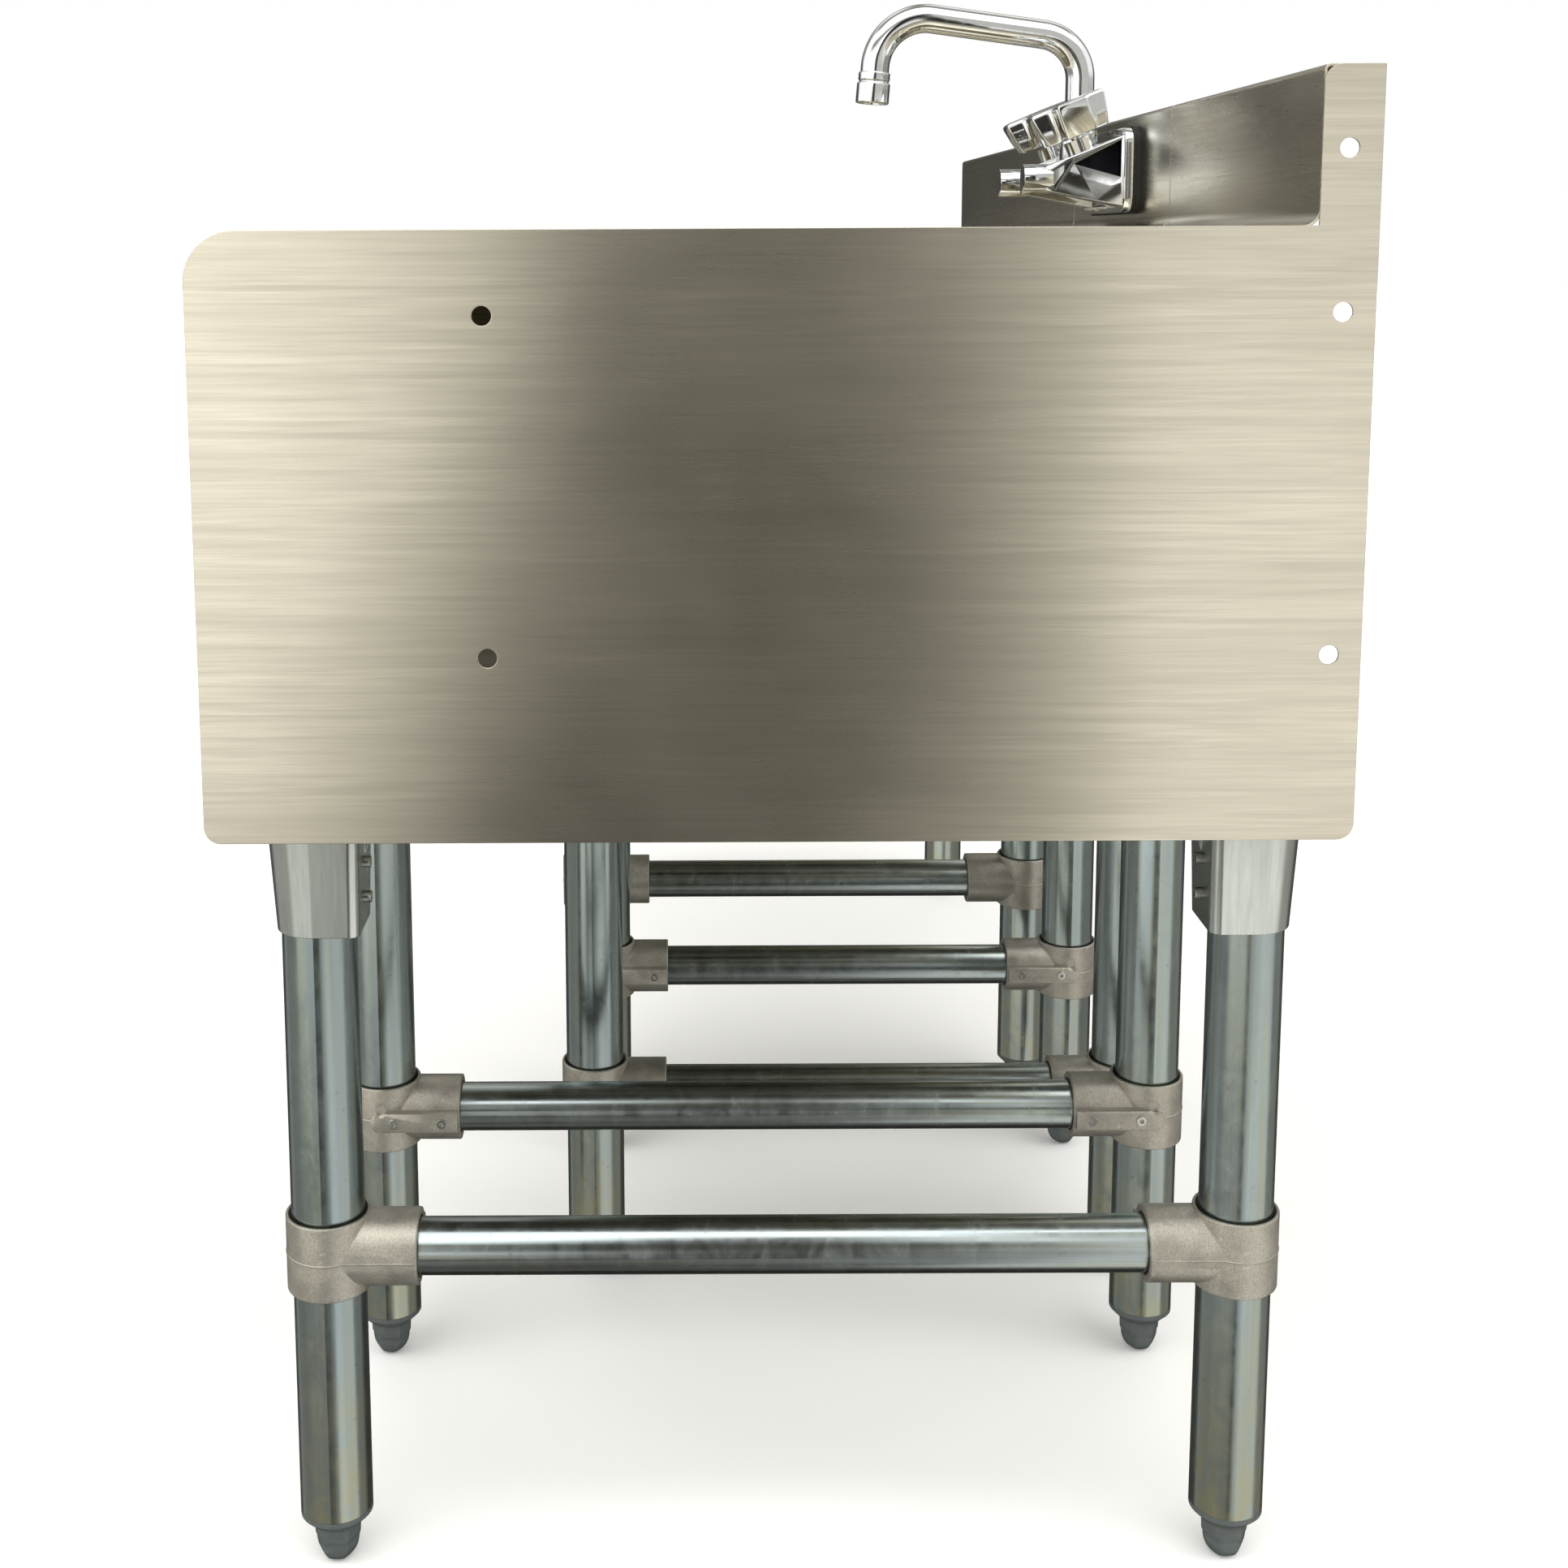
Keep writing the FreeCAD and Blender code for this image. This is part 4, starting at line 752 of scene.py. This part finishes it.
class HANDWASH_OT_sockets(bpy.types.Operator):
    """Makes the cast tees, with rounded rims, flared bores and a parting ridge"""

    bl_idname = "handwash.sockets"
    bl_label = "Cast tees"

    def execute(self, context):
        look = context.scene.handwash_sockets
        made = cast_zinc("Tumbled zinc casting", look)
        leg = legs_of(PAIRS[0])[0]
        low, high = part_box("brace_" + PAIRS[0])
        casting = self.tee(look, leg, (high.z - low.z) / 2)
        for pair in PAIRS:
            ends = legs_of(pair)[1]
            low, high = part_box("brace_" + pair)
            ring_low, ring_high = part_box("sockets_" + pair)
            face = 1 if ring_high.x - ends[0][0] > ends[0][0] - ring_low.x else -1
            tees = [
                mirrored(
                    casting,
                    Matrix.Translation((x, y, (low.z + high.z) / 2))
                    @ Matrix.Diagonal((face, way, 1, 1)),
                )
                for (x, y), way in zip(ends, (1, -1))
            ]
            piece(
                "tees_" + pair, merged(tees), made, "root", ["sockets_" + pair],
                angle=32.0,
            )
        casting.free()
        return {"FINISHED"}

    def tee(self, look, leg, brace):
        """A tee at the origin, with its side tube along +Y and its screw bar towards +X."""
        gap, flare, lip = 0.0003, 0.0017, 0.0034
        ring, side, half = leg + look.wall, brace + look.side_wall, look.tall / 2
        ridge, line = look.ridge, 0.0005
        ring_side = rounded([(0.0, -half), (ring, -half), (ring, -line)], look.edge, closed=False)
        ring_side[-1:] = [
            (ring, -line), (ring + ridge, -line / 3), (ring + ridge, line / 3), (ring, line),
        ]
        ring_side += rounded([(ring, line), (ring, half), (0.0, half)], look.edge, closed=False)[1:]
        profile = [(max(r, 0.001), z) for r, z in ring_side]
        body = solid(lathe(bmesh.new(), profile, Matrix(), 96))
        along_y = turned_to((0, 1, 0), (0, 0, 0))
        tube = rounded([(side, 0.0), (side, look.reach), (0.001, look.reach)], look.edge,
                       closed=False)
        arm = solid(lathe(bmesh.new(), tube, along_y, 96))
        across = turned_to((1, 0, 0), (0, 0, 0))
        bar_half, out, shoulder = 0.0066, ring + 0.003, 0.0007
        bar_loops = []
        for depth, inset in ((0.0, 0.0), (out - shoulder, 0.0), (out - shoulder * 0.3, shoulder * 0.3),
                             (out, shoulder)):
            radius = bar_half - inset
            end = look.reach - 0.0006 - inset
            loop = [
                (-radius * math.sin(math.pi * s / 16), radius * math.cos(math.pi * s / 16))
                for s in range(17)
            ]
            loop += [(end, -radius), (end, radius)]
            bar_loops.append([Vector((depth, y, z)) for y, z in loop])
        bar = solid(loft(bmesh.new(), bar_loops))
        ridges = []
        for x in (-side, side):
            seam = bmesh.new()
            bmesh.ops.create_cube(
                seam, size=1.0,
                matrix=Matrix.Translation((x, look.reach / 2, 0))
                @ Matrix.Diagonal((2 * ridge, look.reach - 3 * look.edge, line * 1.4, 1)),
            )
            ridges.append(solid(seam))
        bore = solid(lathe(
            bmesh.new(),
            [(leg + flare, -half - 0.001), (leg + flare, -half + 0.001), (leg + gap, -half + lip),
             (leg + gap, half - lip), (leg + flare, half - 0.001), (leg + flare, half + 0.001)],
            Matrix(), 96,
        ))
        way = solid(lathe(
            bmesh.new(),
            [(brace + gap, 0.0), (brace + gap, look.reach - lip),
             (brace + flare * 0.8, look.reach - 0.0006),
             (brace + flare * 0.8, look.reach + 0.001)],
            along_y, 96,
        ))
        seats = []
        for y in (0.009, 0.041):
            seats.append(solid(lathe(
                bmesh.new(),
                [(0.00345, out - 0.0033), (0.00345, out - 0.0013), (0.0057, out + 0.0004)],
                across @ Matrix.Translation((0, y, 0)), 32,
            )))
        return carved(body, [arm, bar, *ridges], [bore, way, *seats])


class HANDWASH_OT_feet(bpy.types.Operator):
    """Makes the hexagonal bullet feet and finishes the plugs that they screw into"""

    bl_idname = "handwash.feet"
    bl_label = "Bullet feet"

    def execute(self, context):
        made = moulded_plastic("Moulded nylon", context.scene.handwash_feet)
        plug_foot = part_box("leg_plugs")[0].z
        dress("leg_plugs", made)
        for pair in PAIRS:
            for end, (x, y) in zip(("front", "rear"), legs_of(pair)[1]):
                node = "foot_%s_%s" % (pair, end)
                foot = self.bullet(node, x, y, plug_foot)
                piece("bullet_%s_%s" % (pair, end), foot, made, node, [node],
                      angle=42.0)
        return {"FINISHED"}

    def bullet(self, node, x, y, plug_foot):
        """A hexagonal body that swells a little and rounds off to the floor, on its stud."""
        low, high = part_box(node)
        flats = (high.y - low.y) / 2 if high.y - low.y < high.x - low.x else (high.x - low.x) / 2
        long_way_x = high.x - low.x > high.y - low.y
        top = plug_foot - 0.0003
        stud, tip = 0.0079, high.z
        loops = []
        for height, share, roundness in (
            (0.0, 0.24, 0.9), (0.0008, 0.44, 0.7), (0.0025, 0.62, 0.45), (0.005, 0.74, 0.2),
            (0.008, 0.82, 0.05), (0.0112, 0.86, 0.0), (0.0138, 0.87, 0.0),
            (0.0146, 0.915, 0.0), (0.0160, 0.925, 0.0), (top - 0.0008, 0.945, 0.0),
            (top, 0.91, 0.0),
        ):
            loops.append(self.hexagon(x, y, low.z + height, flats * share, roundness, long_way_x))
        for radius, height in ((stud, top), (stud, tip - 0.0008), (stud - 0.0008, tip)):
            loops.append([
                Vector((x, y, height)) + radius * (p - Vector((x, y, p.z))).normalized()
                for p in loops[0]
            ])
        return loft(bmesh.new(), loops)

    def hexagon(self, x, y, z, flats, roundness, long_way_x):
        """A hexagon with softened corners, towards a circle as roundness goes to one."""
        points = []
        corner = 0.06
        for side in range(6):
            for s in (-0.5 + corner, -0.17, 0.17, 0.5 - corner):
                turn = math.radians(60) * (side + s + (0.5 if long_way_x else 0.0))
                reach = flats / math.cos(math.radians(60) * s)
                reach += (flats * 1.03 - reach) * roundness
                points.append(Vector((x + reach * math.cos(turn), y + reach * math.sin(turn), z)))
        return points


class HANDWASH_OT_fasteners(bpy.types.Operator):
    """Finishes the set screws and the bolts between the sections"""

    bl_idname = "handwash.fasteners"
    bl_label = "Screws and bolts"

    def execute(self, context):
        made = zinc_fastener("Zinc-plated fastener")
        dress("set_screws", made)
        dress("section_bolts", made)
        return {"FINISHED"}


class HANDWASH_OT_faucet(bpy.types.Operator):
    """Makes the faucet's body, handles, spout, nut and aerator, and finishes its fixings"""

    bl_idname = "handwash.faucet"
    bl_label = "Faucet"

    def execute(self, context):
        look = context.scene.handwash_faucet
        chrome = polished_metal("Chrome-plated brass", look.colour, 0.04, 0.0006, 0.0010)
        brass = polished_metal("Machined brass", "#B89A5A", 0.28, 0.0004, 0.0003)
        for name in ("valve_bonnets", "drain_tailpiece"):
            dress(name, chrome)
        for name in ("faucet_shanks", "shank_nuts", "drain_nut"):
            dress(name, brass)
        dress("faucet_gasket", moulded_rubber("Gasket rubber"))
        steel = polished_metal("Bright pressed stainless", "#C9C8C4", 0.16, 0.0005, 0.0006)
        dress("drain_flange", steel)
        dress("drain_basket", steel)
        low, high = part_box("faucet_body")
        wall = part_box("faucet_gasket")[1].y
        # The casting's pockets are painted near-black as shade.
        cast = polished_metal(
            "Chrome-plated brass casting", look.colour, 0.04, 0.0006, 0.0010,
            pockets=((low.x + high.x) / 2, wall, look.deck),
        )
        piece("faucet_casting", softened("faucet_body", 0.0010), cast, "root",
              ["faucet_body"], angle=30.0)
        for joint in frame["joints"]:
            if joint["name"] in ("cold_turn", "hot_turn"):
                self.handle(look, chrome, joint)
        self.spout(look, chrome)
        return {"FINISHED"}

    def handle(self, look, chrome, joint):
        """A four-lobe handle: flat lobe ends, hollow flanks, a crowned top, a bore below."""
        node = joint["child"]
        axis, origin = Vector(joint["axis"]).normalized(), Vector(joint["pos_m"])
        turn = axis.to_track_quat("Z", "Y").to_matrix().transposed()
        spots = [turn @ (v.co - origin) for v in frame["nodes"][node].data.vertices]
        foot, crown = min(p.z for p in spots), max(p.z for p in spots)
        reach = max(p.xy.length for p in spots)
        far = max(spots, key=lambda p: p.xy.length).xy
        half = look.lobe / 2
        corner = math.atan2(half, math.sqrt(reach * reach - half * half))
        heading = math.atan2(far.y, far.x)
        span = math.sqrt(reach * reach - half * half)
        starts = [heading - corner, heading + corner]
        start = min(starts, key=lambda a: self.misfit(spots, a, span, half))
        place = turned_to(axis, origin) @ Matrix.Rotation(start, 4, "Z")
        tall = crown - foot
        loops = []
        for share, grow, inset in (
            (0.0, 0.80, 0.0012), (0.02, 0.82, 0.0004), (0.05, 0.83, 0.0), (0.45, 0.925, 0.0),
            (0.86, 0.995, 0.0), (0.93, 0.995, 0.0003), (0.965, 0.98, 0.0010),
            (0.985, 0.95, 0.0021), (0.995, 0.86, 0.0034), (1.0, 0.60, 0.0046),
        ):
            outline = self.cross(span * grow - inset, half - inset)
            loops.append([place @ Vector((*p, foot + share * tall)) for p in outline])
        stem, deep = 0.0041, 0.0122
        base = self.cross(span * 0.80, half)
        bore = [Vector(p).normalized() * stem for p in base]
        loops.insert(0, [place @ Vector((*p, foot)) for p in bore])
        loops.insert(0, [place @ Vector((*p, foot + deep)) for p in bore])
        piece("lobed_" + node, loft(bmesh.new(), loops), chrome, node, [node],
              angle=34.0)

    def misfit(self, spots, angle, span, half):
        """How badly a cross at this angle fits the points of the node."""
        worst = 0.0
        for p in spots:
            x = abs(p.x * math.cos(angle) + p.y * math.sin(angle))
            y = abs(p.y * math.cos(angle) - p.x * math.sin(angle))
            worst += max(0.0, min(x, y) - half) + max(0.0, max(x, y) - span)
        return worst

    def cross(self, reach, half, hollow=0.0035, corner=0.0016, steps=5):
        """A four-lobed outline with softened corners and filleted hollows."""
        quarter = [(half + hollow * 1.6, half), (reach, half), (reach, -half),
                   (half + hollow * 1.6, -half)]
        points = []
        for side in range(4):
            turn = Matrix.Rotation(math.radians(-90 * side), 2)
            soft = []
            for first, here, after in ((quarter[0], quarter[1], quarter[2]),
                                       (quarter[1], quarter[2], quarter[3])):
                middle, before, later = Vector(here), Vector(first), Vector(after)
                begin = middle + (before - middle).normalized() * corner
                end = middle + (later - middle).normalized() * corner
                for s in range(steps):
                    t = s / (steps - 1)
                    soft.append(begin * (1 - t) ** 2 + middle * 2 * t * (1 - t) + end * t * t)
            points += [turn @ p for p in soft]
            begin, middle = Vector(quarter[3]), Vector((half, -half))
            end = Vector((half, -(half + hollow * 1.6)))
            for s in range(steps):
                t = s / (steps - 1)
                points.append(turn @ (begin * (1 - t) ** 2 + middle * 2 * t * (1 - t) + end * t * t))
        return points

    def spout(self, look, chrome):
        """The bent tube, the nut at its foot and the aerator at its end."""
        low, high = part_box("spout")
        radius = (high.x - low.x) / 2
        mid_x = (low.x + high.x) / 2
        foot = Vector((mid_x, high.y - radius, low.z))
        corners = [
            foot, foot + Vector((0, 0, 0.0683)), foot + Vector((0, -0.145, 0.0886)),
            foot + Vector((0, -0.1486, 0.042)),
        ]
        path = bent_path(corners, (0.032, 0.036), 20)
        tube = swept(bmesh.new(), path, radius, look.segments)
        piece("bent_spout", tube, chrome, "spout", ["spout"], angle=40.0)
        nut_low, nut_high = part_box("spout_nut")
        wide, tall = (nut_high.x - nut_low.x) / 2, nut_high.z - nut_low.z
        bore = radius + 0.00016
        ring = rounded(
            [(bore, 0.0), (wide - 0.0012, 0.0), (wide - 0.0012, 0.0022), (wide, 0.0030),
             (wide, tall * 0.62), (wide - 0.0016, tall * 0.80), (bore + 0.0016, tall),
             (bore, tall)],
            0.0007,
        )
        place = Matrix.Translation((mid_x, foot.y, nut_low.z))
        piece("domed_spout_nut", lathe(bmesh.new(), ring, place, look.segments, closed=True),
              chrome, "root", ["spout_nut"], angle=40.0)
        end = corners[-1]
        up = (corners[-2] - end).normalized()
        place = turned_to(up, end)
        wide = 0.01205
        shell = rounded(
            [(radius + 0.0001, 0.0040), (wide - 0.0007, 0.0034), (wide - 0.0007, -0.0018),
             (wide - 0.0013, -0.0024), (wide - 0.0013, -0.0034), (wide - 0.0001, -0.0042),
             (wide - 0.0001, -0.0178), (wide - 0.0009, -0.0185), (wide - 0.0021, -0.0185),
             (wide - 0.0021, -0.0168), (0.0005, -0.0168)],
            0.0005, closed=False,
        )
        shell.insert(0, (0.0005, 0.0040))
        piece("outlet_aerator", lathe(bmesh.new(), shell, place, look.segments), chrome,
              "spout", ["aerator"], angle=36.0)


# Each light of the tent: compass turn from +X towards the wall, half its width and its fade,
# then height above level, half its height and its fade, all in degrees, and its colour.
SOFTBOXES = (
    (0.0, 80.0, 40.0, 62.0, 28.0, 10.0, (2.6, 2.6, 2.6)),
    (-34.0, 30.0, 5.0, 1.0, 21.0, 8.0, (1.24, 1.23, 1.18)),
    (36.0, 16.0, 8.0, -36.0, 13.0, 8.0, (0.95, 0.97, 1.0)),
    (26.0, 16.0, 10.0, -4.0, 20.0, 10.0, (0.60, 0.60, 0.58)),
    (-124.0, 5.0, 3.0, -25.0, 40.0, 10.0, (0.9, 1.0, 1.1)),
    (-90.0, 26.0, 12.0, 22.0, 22.0, 10.0, (1.1, 1.1, 1.1)),
    (90.0, 30.0, 12.0, 26.0, 20.0, 10.0, (0.9, 0.9, 0.9)),
    (150.0, 20.0, 12.0, 48.0, 14.0, 12.0, (0.75, 0.75, 0.72)),
    (-152.0, 20.0, 12.0, 48.0, 14.0, 12.0, (0.75, 0.75, 0.72)),
)
# Black flags in the same terms, with the share of light that each takes away.
FLAGS = (
    (1.2, 6.0, 3.0, -1.0, 24.0, 10.0, 0.94),
    (-3.5, 8.0, 4.0, -45.0, 24.0, 10.0, 0.50),
    (180.0, 200.0, 8.0, -80.0, 24.0, 12.0, 0.60),
    (-2.0, 8.5, 4.0, -22.0, 12.0, 8.0, 0.55),
    (180.0, 60.0, 8.0, -40.0, 52.0, 14.0, 0.80),
)


# The black card: distance from the near end, how far its left edge slants per metre up, and
# where its left, right and lower edges begin and end their fade.
VELVET = {
    "away": 0.55, "slope": -0.36, "left": (-0.51, -0.34), "right": (0.08, 0.30),
    "foot": (0.20, 0.26),
}


class HANDWASH_OT_stage(bpy.types.Operator):
    """Sets the plain floor, the soft studio light and the camera"""

    bl_idname = "handwash.stage"
    bl_label = "Stage"

    def execute(self, context):
        look = context.scene.handwash_stage
        self.floor(look)
        self.side_card(look)
        self.black_card(look)
        self.tent(look)
        self.camera(look)
        return {"FINISHED"}

    def flat(self, name, mesh, made):
        """Puts a stage piece in the scene."""
        data = bpy.data.meshes.new(name)
        mesh.to_mesh(data)
        mesh.free()
        data.materials.append(made)
        thing = bpy.data.objects.new(name, data)
        bpy.context.scene.collection.objects.link(thing)
        thing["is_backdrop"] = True
        return thing

    def floor(self, look):
        made, tree = blank("Pale studio floor")
        # Seamless paper: matt, with a barely visible tooth.
        tooth = noise(tree, (3.0, 3.0, 3.0))
        base = linear(look.floor_colour)
        finish(tree, add(tree, "ShaderNodeBsdfPrincipled", {
            "Base Color": mix(tree, tooth, shaded(base, 0.985), base), "Roughness": 0.9,
            "Emission Color": base, "Emission Strength": 0.10,
        }))
        mesh = bmesh.new()
        bmesh.ops.create_circle(
            mesh, cap_ends=True, segments=96, radius=30.0,
            matrix=Matrix.Translation((0, 0, -0.0005)),
        )
        floor = self.flat("Floor", mesh, made)
        # Polished metal sees the tent all round instead of the paper.
        floor.visible_glossy = False

    def side_card(self, look):
        """A tall pale card by the wall side, seen only in reflections, dimmer higher up."""
        made, tree = blank("Pale reflector card")
        strength = spread(tree, place_parts(tree)["Z"], 1.28, 0.80, 0.74, 0.92)
        finish(
            tree,
            add(tree, "ShaderNodeEmission", {"Color": linear("#F0EEE9"), "Strength": strength}),
        )
        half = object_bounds()[1].x
        start, end = (half + 0.46, 0.27), (half + 0.12, 1.2)
        mesh = bmesh.new()
        mesh.faces.new([
            mesh.verts.new((x, y, z))
            for (x, y), z in ((start, -2.0), (end, -2.0), (end, 1.5), (start, 1.5))
        ])
        self.only_reflected(self.flat("Card", mesh, made))

    def only_reflected(self, card):
        card.visible_camera = False
        card.visible_diffuse = False
        card.visible_shadow = False

    def black_card(self, look):
        """A black card with soft edges in front of the near end, seen only in reflections: it
        gives the brushed end panel its dark slanting middle."""
        made, tree = blank("Black velvet card")
        parts = place_parts(tree)
        slant = maths(tree, "MULTIPLY_ADD", parts["Z"], VELVET["slope"], parts["Y"])
        cover = spread(tree, slant, 0.0, 1.0, *VELVET["left"])
        for edge in (
            spread(tree, parts["Y"], 1.0, 0.0, *VELVET["right"]),
            spread(tree, parts["Z"], 0.0, 1.0, *VELVET["foot"]),
        ):
            cover = maths(tree, "MULTIPLY", cover, edge)
        clear = add(tree, "ShaderNodeBsdfTransparent", {"Color": (1.0, 1.0, 1.0, 1.0)})
        black = add(tree, "ShaderNodeEmission", {"Color": linear("#4C483F"), "Strength": 1.0})
        both = add(
            tree, "ShaderNodeMixShader", {0: cover, 1: clear.outputs[0], 2: black.outputs[0]}
        )
        finish(tree, both)
        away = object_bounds()[1].x + VELVET["away"]
        mesh = bmesh.new()
        mesh.faces.new([
            mesh.verts.new((away, y, z))
            for y, z in ((-0.6, 0.15), (0.35, 0.15), (0.35, 1.05), (-0.6, 1.05))
        ])
        self.only_reflected(self.flat("Velvet", mesh, made))

    def window(self, tree, turn, height, box):
        """One where a direction falls inside a box of the sky, fading to nought outside it."""
        product = None
        for angle, middle, half, fade in ((turn, *box[:3]), (height, *box[3:6])):
            away = maths(tree, "ABSOLUTE", maths(tree, "SUBTRACT", angle, middle))
            inside = add(
                tree, "ShaderNodeMapRange",
                {"Value": away, "From Min": half + fade / 2, "From Max": half - fade / 2,
                 "To Min": 0.0, "To Max": 1.0},
                interpolation_type="SMOOTHSTEP",
            ).outputs[0]
            product = inside if product is None else maths(tree, "MULTIPLY", product, inside)
        return product

    def tent(self, look):
        """Soft boxes round the object over an even fill, with black flags between them."""
        world = bpy.data.worlds.new("Light tent")
        bpy.context.scene.world = world
        world.use_nodes = True
        tree = world.node_tree
        tree.nodes.clear()
        way = add(
            tree, "ShaderNodeSeparateXYZ", {0: add(tree, "ShaderNodeTexCoord").outputs["Generated"]}
        )
        x, y, z = way.outputs
        turn = maths(tree, "DEGREES", maths(tree, "ARCTAN2", y, x))
        rise = maths(tree, "DEGREES", maths(tree, "ARCSINE", z))
        light = (look.fill, look.fill * 0.97, look.fill * 0.90)
        for *box, colour in SOFTBOXES:
            share = self.window(tree, turn, rise, box)
            glow = vectors(tree, "SCALE", {0: colour, "Scale": share})
            light = vectors(tree, "ADD", {0: light, 1: glow})
        both_ways = maths(tree, "ABSOLUTE", turn)
        for *box, share in FLAGS:
            angle = both_ways if box[0] == 180.0 else turn
            left = spread(tree, self.window(tree, angle, rise, box), 1.0, 1.0 - share)
            light = vectors(tree, "SCALE", {0: light, "Scale": left})
        lit = add(tree, "ShaderNodeBackground", {"Color": light, "Strength": 1.0})
        seen = add(tree, "ShaderNodeBackground", {"Color": (1.0, 1.0, 1.0, 1.0), "Strength": 1.0})
        ray = add(tree, "ShaderNodeLightPath").outputs["Is Camera Ray"]
        both = add(tree, "ShaderNodeMixShader", {0: ray, 1: lit.outputs[0], 2: seen.outputs[0]})
        add(tree, "ShaderNodeOutputWorld", {"Surface": both.outputs[0]})
        bpy.context.scene.view_settings.view_transform = "Standard"

    def camera(self, look):
        lens = bpy.data.cameras.new("Camera")
        lens.lens = look.lens
        lens.shift_x, lens.shift_y = look.shift
        lens.clip_start = 0.02
        camera = bpy.data.objects.new("Camera", lens)
        bpy.context.scene.collection.objects.link(camera)
        forward, right, down = Vector((-1, 0, 0)), Vector((0, 1, 0)), Vector((0, 0, -1))
        turned = math.cos(look.turn) * forward + math.sin(look.turn) * right
        right = math.cos(look.turn) * right - math.sin(look.turn) * forward
        tilted = math.cos(look.pitch) * turned + math.sin(look.pitch) * down
        down = math.cos(look.pitch) * down - math.sin(look.pitch) * turned
        rolled = math.cos(look.roll) * right + math.sin(look.roll) * down
        down = math.cos(look.roll) * down - math.sin(look.roll) * right
        axes = Matrix((rolled, -down, -tilted)).transposed().to_4x4()
        place = (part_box("end_panel_near")[1].x + look.distance, *look.place)
        camera.matrix_world = Matrix.Translation(place) @ axes
        bpy.context.scene.camera = camera


class HANDWASH_PT_panel(bpy.types.Panel):
    """Lists the pieces and their settings"""

    bl_idname = "HANDWASH_PT_panel"
    bl_label = "Handwash run"
    bl_space_type = "VIEW_3D"
    bl_region_type = "UI"
    bl_category = "Handwash"

    def draw(self, context):
        for name, groups in LOOKS.items():
            column = self.layout.column(align=True)
            column.label(text=name[9:].capitalize())
            for key in groups.__annotations__:
                column.prop(getattr(context.scene, name), key)
        for kind in OPERATORS:
            self.layout.operator(kind.bl_idname)


LOOKS = {
    "handwash_shell": ShellProperties,
    "handwash_tubes": TubeProperties,
    "handwash_sockets": SocketProperties,
    "handwash_faucet": FaucetProperties,
    "handwash_feet": FootProperties,
    "handwash_stage": StageProperties,
}
OPERATORS = (
    HANDWASH_OT_shell, HANDWASH_OT_tubes, HANDWASH_OT_sockets, HANDWASH_OT_feet,
    HANDWASH_OT_fasteners, HANDWASH_OT_faucet, HANDWASH_OT_stage,
)


def register():
    for name, kind in LOOKS.items():
        bpy.utils.register_class(kind)
        setattr(bpy.types.Scene, name, PointerProperty(type=kind))
    for kind in OPERATORS:
        bpy.utils.register_class(kind)
    bpy.utils.register_class(HANDWASH_PT_panel)


def unregister():
    bpy.utils.unregister_class(HANDWASH_PT_panel)
    for kind in reversed(OPERATORS):
        bpy.utils.unregister_class(kind)
    for name, kind in LOOKS.items():
        delattr(bpy.types.Scene, name)
        bpy.utils.unregister_class(kind)


def main():
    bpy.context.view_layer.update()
    register()
    bpy.ops.handwash.shell()
    bpy.ops.handwash.tubes()
    bpy.ops.handwash.sockets()
    bpy.ops.handwash.feet()
    bpy.ops.handwash.fasteners()
    bpy.ops.handwash.faucet()
    bpy.ops.handwash.stage()


if __name__ == "__main__":
    main()
